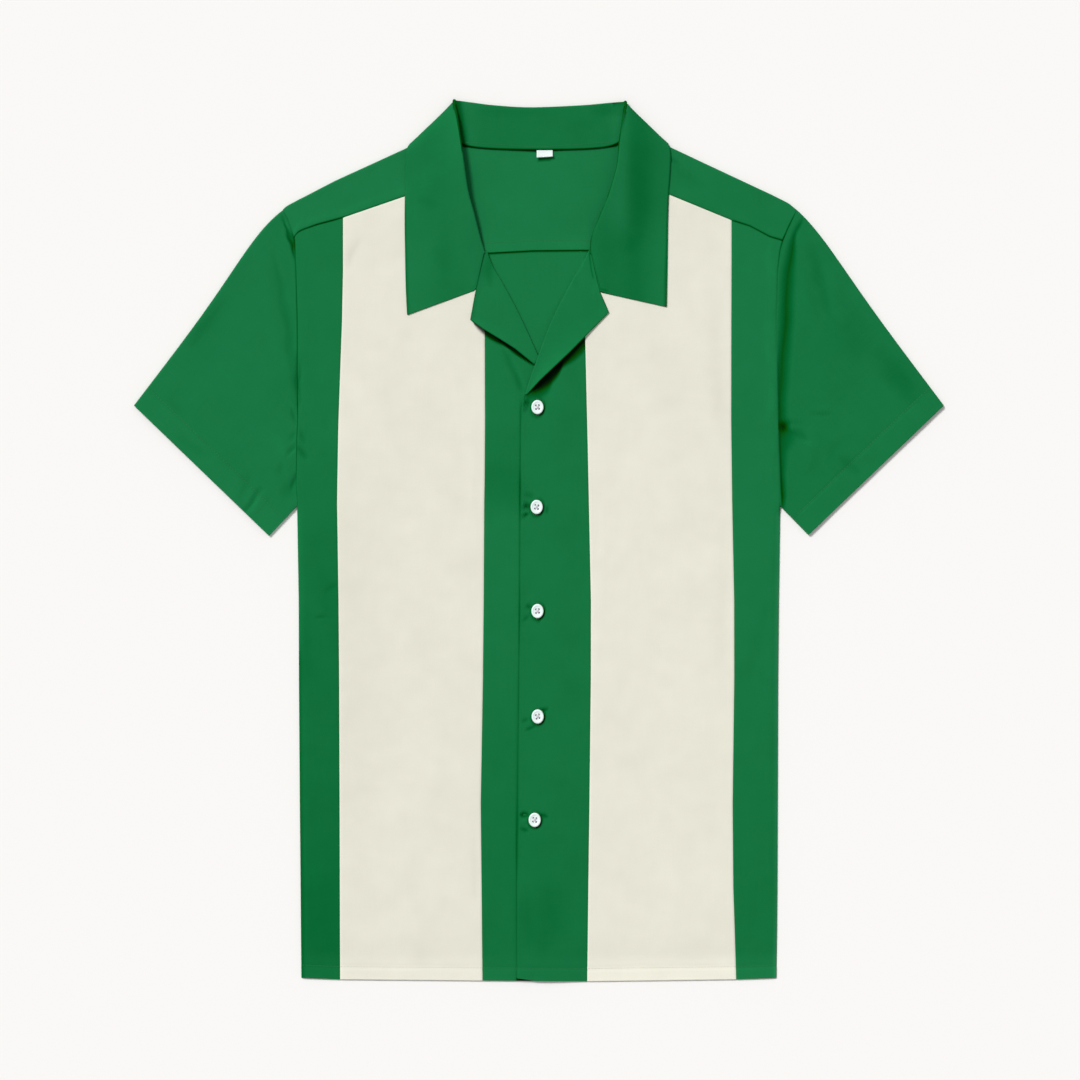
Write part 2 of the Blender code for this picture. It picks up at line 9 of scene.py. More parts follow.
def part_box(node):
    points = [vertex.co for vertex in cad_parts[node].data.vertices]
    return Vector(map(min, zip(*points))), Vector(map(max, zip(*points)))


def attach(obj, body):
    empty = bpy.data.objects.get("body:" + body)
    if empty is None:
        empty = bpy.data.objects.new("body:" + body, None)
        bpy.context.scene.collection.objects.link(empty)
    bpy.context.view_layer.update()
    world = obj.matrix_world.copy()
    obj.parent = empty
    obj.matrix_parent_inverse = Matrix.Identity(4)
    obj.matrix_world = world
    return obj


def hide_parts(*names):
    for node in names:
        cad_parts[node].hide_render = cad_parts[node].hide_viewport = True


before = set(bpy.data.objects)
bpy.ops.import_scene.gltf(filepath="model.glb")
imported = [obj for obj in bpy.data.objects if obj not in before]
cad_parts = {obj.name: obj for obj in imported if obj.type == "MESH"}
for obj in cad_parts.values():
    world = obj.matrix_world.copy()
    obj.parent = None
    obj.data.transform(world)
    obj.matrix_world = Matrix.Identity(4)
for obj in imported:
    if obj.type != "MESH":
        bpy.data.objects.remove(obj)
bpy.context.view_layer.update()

mm = 0.001

cameraView = {
    "lens": 120,
    "sensor": 36,
    "frameWidth": 0.9828,  # of the floor that the view takes in, in metres
    "centre": (0.001, 0.0006),
    "clothHeight": 0.004,
}


def intoScene(name, data):
    thing = bpy.data.objects.new(name, data)
    bpy.context.scene.collection.objects.link(thing)
    return thing


def makeCamera():
    data = bpy.data.cameras.new("camera")
    data.lens, data.sensor_width = cameraView["lens"], cameraView["sensor"]
    data.clip_start, data.clip_end = 0.1, 100
    camera = intoScene("camera", data)
    away = cameraView["frameWidth"] * data.lens / data.sensor_width
    camera.location = (*cameraView["centre"], cameraView["clothHeight"] + away)
    bpy.context.scene.camera = camera


makeCamera()
print("camera placed")

# Long lines of the body, as x at each y: side seams or armholes (side), the two
# seams of each cream panel (outer, inner), the left front's edge, and the right
# front's edge under it.
bodyLines = {
    "y": [-402, -315, -240, -125, -55, 35, 50, 92, 110, 200, 245, 264, 275, 287, 294, 301],
    "sideRight": [
        -216.1, -216.8, -217.5, -218.3, -218.5, -220, -221.2, -220.6, -219.8, -220, -221.2, -222, -222.6,
        -226.6, -229.2, -233,
    ],
    "outerRight": [-181, -181.2, -181.4, -181.8, -182.4, -183.7, -183.5, -182.8, -182.4, -179.2]
    + [-178.3] * 6,
    "innerRight": [-51.4, -52.2, -53, -51, -50.3, -49.8, -49.5, -49.2, -49.1, -49.4] + [-49.5] * 6,
    "edge": [-19.6, -19.6, -19, -17.8, -16.9, -16.5, -16.4, -16.1, -16] + [-14.8] * 7,
    "under": [14] * 16,
    "innerLeft": [44, 45, 46, 47.3, 47.4, 45.5, 45.2, 44.3, 43.9, 41.8] + [42] * 6,
    "outerLeft": [179.7, 176.9, 176.3, 177.8, 177.7, 175.9, 175.7, 175.2, 175, 175.1] + [175.3] * 6,
    "sideLeft": [
        216.1, 216.9, 217.2, 217.6, 218.3, 219.6, 219.2, 218, 217.5, 216.3, 217.2, 219.4, 222.4, 227.8, 231.2,
        234.6,
    ],
}
# Other tables are pairs of lists: places, then the value at each. These lines run
# across the body, as y at each x.
hemLine = (
    [-216, -181, -51.5, 44, 179.5, 216],
    [-398, -399.3, -400.4, -401, -399.3, -398],
)
topRight = (  # yoke seam, neckline, then the lapel's roll line
    [
        -223.4, -222.2, -220.4, -217.6, -213, -201, -189.4, -178.3, -122.3, -86, -66, -49.5, -37.2, -17.2,
        0, 15,
    ],
    [273.6, 277, 279.6, 281.8, 283.8, 288, 291, 294.1, 313.4, 327, 290, 261, 240.9, 204.5, 168, 150],
)
topLeft = (
    [-16.5, -12.6, -0.8, 11.9, 26.5, 44, 63, 88, 117.5, 175.3, 192.1, 210.3, 222.6],
    [118, 132.6, 167.2, 200.8, 230, 261.5, 290, 328, 315.5, 291.8, 286.4, 276.7, 273],
)
shoulderLine = (  # shoulder folds, with the back neckline between them
    [-233, -229.5, -184.9, -118, -86, -70, 0, 70, 88, 119, 212.1, 227.6, 236.6],
    [301.2, 304.6, 327.7, 358.2, 373, 360, 355.4, 360.2, 372, 358.2, 314.6, 306.8, 299.2],
)
fallLine = (  # outer edge of the collar's fall, under the back yoke
    [-114, -93, -50, 0, 48, 94, 115],
    [359.6, 344, 329, 323.5, 328.5, 344, 359.6],
)

layers = {  # heights of each layer's middle above the floor, and what several pieces share
    "wall": 0.6,
    "edgeRound": 0.9,  # of the cloth's edges, where 1 would be as far out as half the wall
    "mergeGap": 0.004,  # points of neighbouring patches this close are one
    "back": 0.33,
    "front": 3.4,
    "sideEdge": 1,
    "hemEdge": 1.5,
    "overlap": 4.9,
    "openNeck": 1.35,
    "neckFade": 28,  # from the roll lines out to the fronts' full height
    "yokeNeck": 1.75,
    "sideCurl": 7,
    "hemRest": 45,
    "hollowShade": 0.16,
    "creaseWander": 3,
    "blotch": 0.022,  # soft unevenness of the cloth's tone
    "armpitY": 32,
    "backYokeY": 264,
    "neckX": (-86, 88),
    "rolls": [(-49.5, 261, -0.883, -0.47), (44, 261.5, 0.9155, -0.402)],  # a point, and the way out from it
}


def ease(share):
    share = np.clip(share, 0.0, 1.0)
    return share * share * (3 - 2 * share)


def bell(distance, width):
    return np.exp(-((distance / width) ** 2))


def bodyX(name, y):
    return np.interp(y, bodyLines["y"], bodyLines[name])


def lineY(line, x):
    return np.interp(x, *line)


def neckDrop(x, y):  # how far the fronts sink towards the open neck, from 0 to 1
    sides = [ax * (x - x0) + ay * (y - y0) for x0, y0, ax, ay in layers["rolls"]]
    return ease(1 - np.maximum(*sides) / layers["neckFade"])


def spread(length, step, start=True, end=True):  # shares of a length, closer at its seams
    near = np.array([0.0, 0.25, 0.5, 0.8, 1.2, 1.8, 2.6])
    first = near if start else near[:1]
    last = length - (near if end else near[:1])[::-1]
    count = max(2, int(round((last[0] - first[-1]) / step)))
    middle = np.linspace(first[-1], last[0], count + 1)[1:-1]
    return np.concatenate([first, middle, last]) / length


noiseLayers = [(0.3, 1, 0.6), (1.4, 0.61, 0.3), (2.3, 0.37, 0.18)]  # each one's turn, size and weight


def softNoise(x, y, size, seed, cells=64):  # from -1 to 1, the same on each run
    total = 0.0
    for turn, (angle, scale, weight) in enumerate(noiseLayers):
        lattice = np.random.RandomState(seed * 7 + turn).rand(cells, cells) * 2 - 1
        px = (x * math.cos(angle) + y * math.sin(angle)) / (size * scale) + 300
        py = (y * math.cos(angle) - x * math.sin(angle)) / (size * scale) + 300
        ix, iy = np.floor(px).astype(int), np.floor(py).astype(int)
        fx, fy = ease(px - ix), ease(py - iy)
        ix, iy, jx, jy = ix % cells, iy % cells, (ix + 1) % cells, (iy + 1) % cells
        low = lattice[iy, ix] * (1 - fx) + lattice[iy, jx] * fx
        high = lattice[jy, ix] * (1 - fx) + lattice[jy, jx] * fx
        total = total + weight * (low * (1 - fy) + high * fy)
    return total


def beside(x, y, x0, y0, x1, y1):  # how far along a line, 0 to 1, and how far to its left
    run = math.hypot(x1 - x0, y1 - y0)
    ax, ay = (x1 - x0) / run, (y1 - y0) / run
    return ((x - x0) * ax + (y - y0) * ay) / run, (y - y0) * ax - (x - x0) * ay


# Rows of creases: start x, y, end x, y, width, height, and its bow where it has one.
def creaseHeight(x, y, rows, wander=layers["creaseWander"]):
    total = np.zeros_like(x)
    x, y = x + wander * softNoise(x, y, 21, 71), y + wander * softNoise(x, y, 23, 73)
    for row in rows:
        along, aside = beside(x, y, *row[:4])
        width, height, *bow = row[4:]
        inside = np.clip(along, 0, 1)
        fade = np.sin(np.pi * inside) ** 0.7
        aside = aside - sum(bow) * 4 * inside * (1 - inside)
        total += height * fade * bell(aside, width * (0.4 + 0.6 * fade))
    return total


def creaseTone(x, y, rows):  # random unevenness, and painted shade in each hollow, which gets less light than its slopes alone show
    uneven = 1 + layers["blotch"] * (softNoise(x, y, 30, 75) + softNoise(x, y, 12, 77))
    return uneven - layers["hollowShade"] * np.clip(-creaseHeight(x, y, rows), 0, 2)


def patchOf(x, y, z, tone):  # grids of points, of places in the weave, and of tones, which carry painted shade and light
    return np.stack([x, y, z], -1), np.stack([x, y], -1), tone


def joinPatches(patches):
    rows, faces, start = [], [], 0
    for grid, weave, tone in patches:
        tone = np.broadcast_to(tone, grid.shape[:2])[..., None]
        rows.append(np.concatenate([grid, weave, tone], -1).reshape(-1, 6))
        index = np.arange(start, start + tone.size).reshape(grid.shape[:2])
        corners = [index[:-1, :-1], index[:-1, 1:], index[1:, 1:], index[1:, :-1]]
        faces.append(np.stack(corners, -1).reshape(-1, 4))
        start += tone.size
    rows = np.concatenate(rows)
    spots = np.round(rows[:, :3] / layers["mergeGap"]).astype(np.int64)
    _, first, same = np.unique(spots, axis=0, return_index=True, return_inverse=True)
    faces = same.reshape(-1)[np.concatenate(faces)]
    keep = [len(set(face)) == 4 for face in faces.tolist()]
    return rows[first], faces[keep]


def unit(vectors):
    return vectors / np.maximum(np.linalg.norm(vectors, axis=-1, keepdims=True), 1e-12)


def wallOf(points, faces, half):  # both sides of the cloth and its rounded edge
    corners = points[faces]
    flat = np.cross(corners[:, 2] - corners[:, 0], corners[:, 3] - corners[:, 1])
    normals, outward = np.zeros_like(points), np.zeros_like(points)
    for corner in range(4):
        np.add.at(normals, faces[:, corner], flat)
    normals = unit(normals)
    sides = np.concatenate([faces[:, [k, (k + 1) % 4]] for k in range(4)])
    _, index, counts = np.unique(np.sort(sides, axis=1), axis=0, return_inverse=True, return_counts=True)
    a, b = sides[counts[index.reshape(-1)] == 1].T
    for end in (a, b):
        np.add.at(outward, end, np.cross(points[b] - points[a], normals[a]))
    rim, count = np.unique([a, b]), len(points)
    middle = points[rim] + unit(outward[rim]) * half * layers["edgeRound"]
    place = np.zeros(count, int)
    place[rim] = np.arange(len(rim)) + 2 * count
    edge = [(b, a, place[a], place[b]), (place[b], place[a], a + count, b + count)]
    allPoints = np.concatenate([points + normals * half, points - normals * half, middle])
    allFaces = np.concatenate([faces, faces[:, ::-1] + count, *(np.stack(ring, 1) for ring in edge)])
    return allPoints, allFaces, np.concatenate([np.arange(count), np.arange(count), rim])


def sewCloth(name, patches, finish, wall=layers["wall"]):
    rows, faces = joinPatches(patches)
    points, faces, source = wallOf(rows[:, :3], faces, wall / 2)
    mesh = bpy.data.meshes.new(name)
    mesh.from_pydata((points * mm).tolist(), [], faces.tolist())
    mesh.validate()
    mesh.shade_smooth()
    mesh.materials.append(finish)
    flat = np.zeros((len(source), 3))
    flat[:, :2] = rows[source, 3:5] * mm
    mesh.attributes.new("weave", "FLOAT_VECTOR", "POINT").data.foreach_set("vector", flat.ravel())
    mesh.attributes.new("tone", "FLOAT", "POINT").data.foreach_set("value", rows[source, 5])
    print(name, "has", len(faces) * 2, "triangles")
    return intoScene(name, mesh)


def declare(piece, node):  # puts the piece on the root body and hides its CAD part
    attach(piece, "root")
    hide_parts(node)


# Finishes
greenLook = {
    "colour": (0.0098, 0.2145, 0.0645),
    "gap": (0.0064, 0.152, 0.045),  # between the threads
    "paintedShadeTint": (0.021, 0, 0.037),  # taken off where the painted shade lowers the tone, so that it looks deeper
    "pitch": 0.00042,
    "sheen": 0.06,
    "sheenTint": (0.35, 0.9, 0.55),
    "roughness": 0.86,
    "slub": 0.045,
    "mottle": 0.07,
    "weaveHeight": 0.00005,
    "crumple": 0.00022,
    "wander": 0.00016,  # of the threads
    "sizes": {"wander": 180, "mottle": 22, "crumple": 55},  # of the noises, as waves in a metre
    "slubs": [(900, 26, 1), (30, 1000, 1)],  # long and thin, along each thread
    "threadShare": 0.85,  # of the threads' own colour where they stand highest
    "roughSpread": 0.12,
    "slubHeight": 0.6,
    "gleam": 0.04,  # how much it mirrors
}
creamLook = greenLook | {
    "colour": (0.872, 0.859, 0.755),
    "gap": (0.768, 0.745, 0.625),
    "paintedShadeTint": (0, 0, 0),
    "sheen": 0.05,
    "sheenTint": (1, 0.97, 0.9),
    "roughness": 0.88,
    "slub": 0.018,
    "mottle": 0.017,
}


def feed(tree, node, inputs):  # a socket is linked, any other value is set
    for key, value in dict(inputs).items():
        if isinstance(value, bpy.types.NodeSocket):
            tree.links.new(value, node.inputs[key])
        else:
            node.inputs[key].default_value = value


def addNode(tree, kind, inputs=(), **settings):
    node = tree.nodes.new(kind)
    for key, value in settings.items():
        setattr(node, key, value)
    feed(tree, node, inputs)
    return node


class Nodes:  # short hands for building a material
    def __init__(self, name):
        self.material = bpy.data.materials.new(name)
        self.material.use_nodes = True
        self.tree = self.material.node_tree

    def add(self, kind, inputs=(), out=0, **settings):
        return addNode(self.tree, kind, inputs, **settings).outputs[out]

    def math(self, operation, *values):
        return self.add("ShaderNodeMath", enumerate(values), operation=operation)

    def vector(self, operation, inputs):
        return self.add("ShaderNodeVectorMath", inputs, operation=operation)

    def noise(self, place, scale, detail, roughness=0.5, out="Fac"):
        inputs = {"Vector": place, "Scale": scale, "Detail": detail, "Roughness": roughness}
        return self.add("ShaderNodeTexNoise", inputs, out)

    def scaled(self, place, *scale):  # by one number, or by three
        return self.add("ShaderNodeMapping", {"Vector": place, "Scale": (scale * 3)[:3]})

    def ribs(self, place, pitch):  # how far along each thread's wave a place is, as angles
        turns = self.scaled(place, 2 * math.pi / pitch)
        return addNode(self.tree, "ShaderNodeSeparateXYZ", {0: turns}).outputs

    def mix(self, share, first, second):
        colours = {0: share, 6: (*first, 1), 7: (*second, 1)}
        return self.add("ShaderNodeMix", colours, 2, data_type="RGBA")

    def bump(self, strength, distance, height, inputs=()):
        size = {"Strength": strength, "Distance": distance, "Height": height}
        return self.add("ShaderNodeBump", size | dict(inputs))

    def finish(self, inputs):
        feed(self.tree, self.tree.nodes["Principled BSDF"], inputs)
        return self.material


def clothFinish(name, look):
    make, sizes = Nodes(name), look["sizes"]
    place = make.add("ShaderNodeAttribute", (), "Vector", attribute_name="weave")
    # the tone attribute carries painted shade and painted light, on top of the cloth's own unevenness
    tone = make.add("ShaderNodeAttribute", (), "Fac", attribute_name="tone")
    wander = make.noise(place, sizes["wander"], 2, out="Color")
    shifted = make.vector("MULTIPLY", {0: wander, 1: (look["wander"],) * 3})
    threads = make.vector("ADD", {0: place, 1: shifted})
    across, along, _ = make.ribs(threads, look["pitch"])
    warp, weft = make.math("SINE", across), make.math("SINE", along)
    crossing = make.math("MULTIPLY_ADD", make.math("MULTIPLY", warp, weft), 0.5, 0.5)
    slub = make.math("ADD", *[make.noise(make.scaled(place, *scale), 1, 2) for scale in look["slubs"]])
    mottle = make.noise(place, sizes["mottle"], 4, 0.55)
    cloth = make.mix(make.math("MULTIPLY", crossing, look["threadShare"]), look["gap"], look["colour"])
    level = make.math("MULTIPLY_ADD", make.math("SUBTRACT", slub, 1), look["slub"] * 2, 1)
    blotch = make.math("MULTIPLY", make.math("SUBTRACT", mottle, 0.5), look["mottle"] * 2)
    level = make.math("MULTIPLY", make.math("ADD", level, blotch), tone)
    coloured = make.vector("SCALE", {0: cloth, "Scale": level})
    # painted shade: where the tone is low the colour drops further and shifts
    deeper = make.math("SUBTRACT", tone, 1)
    coloured = make.vector("MULTIPLY_ADD", {0: deeper, 1: look["paintedShadeTint"], 2: coloured})
    coloured = make.vector("MAXIMUM", {0: coloured, 1: (0, 0, 0)})
    uneven = make.math("SUBTRACT", mottle, 0.5)
    rough = make.math("MULTIPLY_ADD", uneven, look["roughSpread"], look["roughness"])
    soft = make.bump(1, look["crumple"], make.noise(place, sizes["crumple"], 5))
    surface = make.math("ADD", crossing, make.math("MULTIPLY", slub, look["slubHeight"]))
    make.material.diffuse_color = (*look["colour"], 1)
    return make.finish({
        "Base Color": coloured,
        "Roughness": rough,
        "Normal": make.bump(1, look["weaveHeight"], surface, {"Normal": soft}),
        "Specular IOR Level": look["gleam"],
        "Sheen Weight": look["sheen"],
        "Sheen Roughness": 0.45,
        "Sheen Tint": (*look["sheenTint"], 1),
    })


greenCloth = clothFinish("greenCotton", greenLook)
creamCloth = clothFinish("creamCotton", creamLook)
print("cloth finishes made")

# The fronts: each strip lies between two long lines, the hem and its own top.
frontLook = {
    "length": 690,  # about, to set how many rows there are
    "wave": 0.32,
    "waveSize": 95,
    "ripple": 0.10,
    "rippleSize": 34,
    "seamDip": 0.4,
    "seamWidth": 0.8,
    "rowStep": 2.2,
    "hemStitch": 11.5,
    "hemSwell": 0.22,
    "hemGroove": 0.25,
    "armholeRight": (  # painted shade in the groove of the seam: how strong at each y
        [33, 40, 50, 60, 70, 85, 100, 113, 125, 135, 170, 220, 255, 262, 268, 274, 279, 284, 290, 295, 300],
        [
            0.1, 0.25, 0.2, 0.42, 0.33, 0.4, 0.46, 0.53, 0.75, 0.57, 0.55, 0.49, 0.33, 0.45, 0.75, 0.75, 0.3,
            0.15, 0.15, 0.2, 0.05,
        ],
    ),
    # the same painted shade for the left armhole
    "armholeLeft": (
        [33, 199, 220, 240, 255, 265, 270, 275, 280, 287, 293, 299],
        [0, 0, 0.05, 0.14, 0.34, 0.44, 0.6, 0.78, 0.6, 0.63, 0.46, 0.1],
    ),
    # painted shade in the seam between yoke and fronts, at each x
    "yokeLine": (
        [-222, -212, -202, -186, -178, 178, 195, 212, 222],
        [0.7, 0.7, 0.95, 0.9, 0.7, 0.8, 0.65, 0.75, 0.8],
    ),
    "seamLines": (0.7, 0.85),  # widths of the painted shade lines at the armholes and the yoke
    "edgeRise": (0.8, 3),  # of the cloth beside the closure's edge, and over how far
    "overlapFlat": 28,  # how far from its edge the closure lies level
    "edgeLightAndShade": (0.45, 2.2),  # painted light along the left side's rounded edge below the armpit, painted shade along the right's near the hem: how much, over how far
    "cornerLift": 1.8,  # of the closure's lower corner
    "cornerReach": 15.5,
    "creases": [
        (-221.5, 86.5, -210.5, 72, 2.3, -1.3), (-218.5, 73, -208.5, 71, 1.2, 0.35),
        (-217.6, 101, -214.4, 86, 2.3, -0.8), (-199.5, 79.5, -191.5, 76, 3, -0.25),
        (-194, 113, -191, 99, 3, -0.25), (-215, -58, -211, -134, 7, -0.35),
        (-170, 130, -160, -400, 26, -0.17), (-58, -268, -57, -332, 5, -0.3), (168, 24, 167, -155, 8, -0.2),
        (-13, -312, -9, -374, 7, -0.45), (120, 340, 152, 321, 6, -0.35),
        (-176.5, 246, -163.8, 277.5, 4.2, -0.4), (-33.5, 178, -14.5, 134, 3.2, -0.7),
        (-23, 153, -14.5, 135, 3, -0.5), (-26, 168, -10, 139, 3, 0.3), (117, 351, 130, 342, 2, -0.8),
        (120, 344, 128, 339, 1.6, -0.4), (10, -300, 6, -382, 12, -0.5), (-212, -69, -180, -69.6, 1, -0.8),
        (-198.5, -48.8, -182, -38.5, 2.6, -0.5), (-216.4, 166, -216.4, 121, 1.6, -0.8),
        (213.5, 296, 213, 40, 5.5, 0.85), (-213, 262, -212, 120, 6, 0.35), (208, -60, 186, -140, 7, -0.25),
        (-205, 10, -186, -95, 7, -0.25), (70, 205, 130, 60, 15, 0.5, 6), (-75, 215, -120, 60, 15, 0.5, -6),
        (60, 30, 52, -120, 6, 0.3), (-62, 120, -57, -10, 5, 0.25), (160, 215, 168, 80, 9, -0.35),
        (90, -160, 140, -330, 16, 0.35, 5), (-90, -190, -140, -340, 16, 0.3, -5),
    ],
    "edgeShade": (  # painted shade of the line under the closure's edge, stronger by the buttons; the edge lifts more there too
        [-400, -310, -285, -255, -230, -165, -145, -110, -72, -55, -35, 15, 34, 50, 66, 95, 118, 126, 129],
        [
            0.16, 0.18, 0.45, 0.6, 0.4, 0.25, 0.35, 0.2, 0.4, 0.35, 0.2, 0.25, 0.5, 0.55, 0.25, 0.2, 0.35,
            0.2, 0,
        ],
    ),
    "pulls": [  # short folds by each button, from its middle: start, end, width, height
        [(-13.4, 6.5, -5.5, 2, 2.6, -1.7), (-13, -1.5, -6.5, -0.5, 1.6, -0.7), (-12, 2.2, -6, 0.6, 1.2, 0.4)],
        [
            (-13.5, 2, -4.5, 0.2, 1.8, -2), (-13.8, -7.1, -6, -6.2, 1.4, -1.6),
            (-14, -2.8, -5, -2.4, 1.8, 0.6), (9, 1, 9.8, -7, 1.2, -0.8), (-13.5, 12.9, -1, 9, 1.4, -0.7),
        ],
        [
            (-10.8, 5.2, -4, 2.4, 1.5, -1.1), (-13.8, -7.9, -6.5, -5.2, 1.4, -0.7),
            (1.2, -5.8, 2.2, -11.8, 1.2, -0.8),
        ],
        [
            (2.6, 4.8, 10.6, 6.8, 1.5, -1.2), (-11.8, -12.6, -1, -9.2, 1.4, -0.9),
            (-14.8, -4.3, -7.4, -3.2, 1.4, -0.7),
        ],
        [
            (-13.8, 4.3, -4.4, 4.3, 2.2, -2), (4.4, 4.8, 13, 2.1, 1.4, -1.2),
            (-13.8, -7.4, -4, -10.7, 1.5, -1), (-13, -1.6, -5, -1.2, 2, 0.5),
        ],
    ],
    # painted shade in the pulls' hollows
    "pullShade": 0.34,
    "buttonShade": (0.6, 0.5, 1),  # painted shadow round each button: all round, more to the lower right, width
    "lapelShade": [  # painted shadows under the lapels' lifted edges: from, to, width, strength
        (-60.5, 200, -24, 176.4, 6.2, 0.93), (-40, 186.4, -2, 158.4, 3, 0.95),
    ],
    # painted shadows on the left front under the left lapel's lifted edge: from, to, width, strength
    "overLapelShade": [
        (-13, 131.5, 50, 190, 2.2, 0.6), (-8, 135.5, 21.5, 163.5, 9.5, 0.92),
        (-12, 131.5, 11, 151.5, 13, 0.42), (14, 156.5, 50, 190.5, 5.2, 0.57),
        (14, 156.5, 50, 190.5, 9.2, 0.57),
    ],
}
buttonOval = (0.93, 1.09)  # how far the buttons' outlines are from round
buttonNodes = ["button_%d" % (k + 1) for k in range(5)]
buttonSpots = [tuple((Vector(low) + Vector(high)) / 2 / mm)[:2] for low, high in map(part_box, buttonNodes)]
pullCreases = [
    (x + x0, y + y0, x + x1, y + y1, width, height)
    for (x, y), pulls in zip(buttonSpots, frontLook["pulls"])
    for x0, y0, x1, y1, width, height in pulls
]


def buttonShade(x, y):  # painted shadow: the dark ring where each button stands off the cloth
    allRound, lowRight, wide = frontLook["buttonShade"]
    tone = np.ones_like(x)
    for x0, y0 in buttonSpots:
        away = np.hypot((x - x0) / buttonOval[0], (y - y0) / buttonOval[1])
        side = ((x - x0) - (y - y0)) / np.maximum(away, 0.5) / 1.4
        tone *= 1 - (allRound + lowRight * side) * bell(away - 6.5, wide)
    return tone


def aboveHem(x, y):
    return y - lineY(hemLine, x)


def fromSide(x, y):
    return np.minimum(x - bodyX("sideRight", y), bodyX("sideLeft", y) - x)


def frontBase(x, y):
    bend = np.clip(fromSide(x, y) / layers["sideCurl"], 0, 1)
    curl = np.sqrt(1 - (1 - bend) ** 2)
    below = ease((layers["armpitY"] + 4 - y) / 14)
    rise = ease(aboveHem(x, y) / layers["hemRest"])
    height = layers["hemEdge"] + (layers["front"] - layers["hemEdge"]) * rise
    height = height - (layers["front"] - layers["openNeck"]) * neckDrop(x, y)
    return layers["sideEdge"] + (height - layers["sideEdge"]) * (1 - below + below * curl)


def frontWaves(x, y):
    quiet = ease(fromSide(x, y) / 12) * ease(aboveHem(x, y) / 25 + 0.2)
    waves = frontLook["wave"] * softNoise(x, y * 0.6, frontLook["waveSize"], 3)
    waves += frontLook["ripple"] * softNoise(x, y, frontLook["rippleSize"], 5)
    return quiet * (1 - 0.7 * neckDrop(x, y)) * waves + creaseHeight(x, y, frontLook["creases"])


def frontHeight(x, y):
    up = aboveHem(x, y)  # the turned-up hem is a little fuller, with a trough at its stitches
    hem = frontLook["hemSwell"] * ease((frontLook["hemStitch"] - up) / 2.5)
    hem = hem - frontLook["hemGroove"] * bell(up - frontLook["hemStitch"], 1.1)
    return frontBase(x, y) + frontWaves(x, y) + hem


def edgeShade(y):
    return np.interp(y, *frontLook["edgeShade"])


def overlapHeight(x, y):  # the left centre front climbs onto the right one
    seam, edge = bodyX("innerLeft", y), bodyX("edge", y)
    climb = ease((seam - x) / (seam - edge - frontLook["overlapFlat"]))
    rise, wide = frontLook["edgeRise"]
    height = frontHeight(x, y) + (layers["overlap"] - layers["front"]) * climb
    height = height + rise * edgeShade(y) * bell(x - edge, wide)
    corner = ease(1 - (x - edge) / frontLook["cornerReach"]) * ease(1 - aboveHem(x, y) / 14)
    return height + frontLook["cornerLift"] * corner + creaseHeight(x, y, pullCreases, 0.8)


def paintedShadowUnder(x, y, rows):  # painted shadow, from the line to its right and down, over its width
    total = np.ones_like(x)
    for row in rows:
        along, aside = beside(x, y, *row[:4])
        wide = row[4] * np.sin(np.pi * np.clip(along, 0, 1)) ** 0.6
        clear = ease((abs(aside) - wide * 0.55) / np.maximum(wide * 0.5, 0.3))
        total *= 1 - row[5] * (1 - clear) * (wide > 0)
    return total


# how strong the painted shade of each armhole seam is; the sleeve's seam dips more with it
def armholeLine(x, y):
    right, left = (np.interp(y, *frontLook[side]) for side in ("armholeRight", "armholeLeft"))
    return np.where(x < 0, right, left) * ease((y - layers["armpitY"]) / 6)


# painted shade of the armhole seams
def armholeShade(x, y):
    return armholeLine(x, y) * bell(fromSide(x, y), frontLook["seamLines"][0])


def yokeShade(x, gap):  # painted shade of the seam between yoke and front
    return np.interp(x, *frontLook["yokeLine"]) * bell(gap, frontLook["seamLines"][1])


# painted shade of the armhole and yoke seams, with painted light and shade along the side edges
def sideTone(x, y):
    gap = np.where(x < 0, lineY(topRight, x), lineY(topLeft, x)) - y
    much, wide = frontLook["edgeLightAndShade"]
    # painted light on the left side's rounded edge, painted shade on the right's near the hem
    turned = ease((layers["armpitY"] - 4 - y) / 6) * bell(fromSide(x, y), wide)
    turned = turned * np.where(x > 0, much, -0.7 * much * ease((-90 - y) / 20))
    return (1 - armholeShade(x, y) + turned) * (1 - yokeShade(x, gap))


def plainTone(x, y):
    return 1.0


def panelTone(x, y):  # painted shadow on the cream panel under the right lapel's corner
    return paintedShadowUnder(x, y, frontLook["lapelShade"][:1])


def underTone(x, y):  # the right centre front: painted shade where the left one's edge and lifted corner lie over it, and painted shadow under the right lapel
    corner = ease((x + 21.5) / 2) * ease((-397 - y) / 0.8)
    tone = (1 - edgeShade(y) * bell(x - bodyX("edge", y) + 0.5, 0.9)) * (1 - 0.9 * corner)
    return tone * paintedShadowUnder(x, y, frontLook["lapelShade"])


# painted shade in the pulls, along the closure's edge and round the buttons, and painted shadow under the
# left lapel
def overTone(x, y):
    pulled = 1 - frontLook["pullShade"] * np.clip(-creaseHeight(x, y, pullCreases, 0.8), 0, 2)
    tone = (1 - 0.5 * edgeShade(y) * bell(x - bodyX("edge", y), 0.45)) * pulled
    return tone * buttonShade(x, y) * paintedShadowUnder(x, y, frontLook["overLapelShade"])


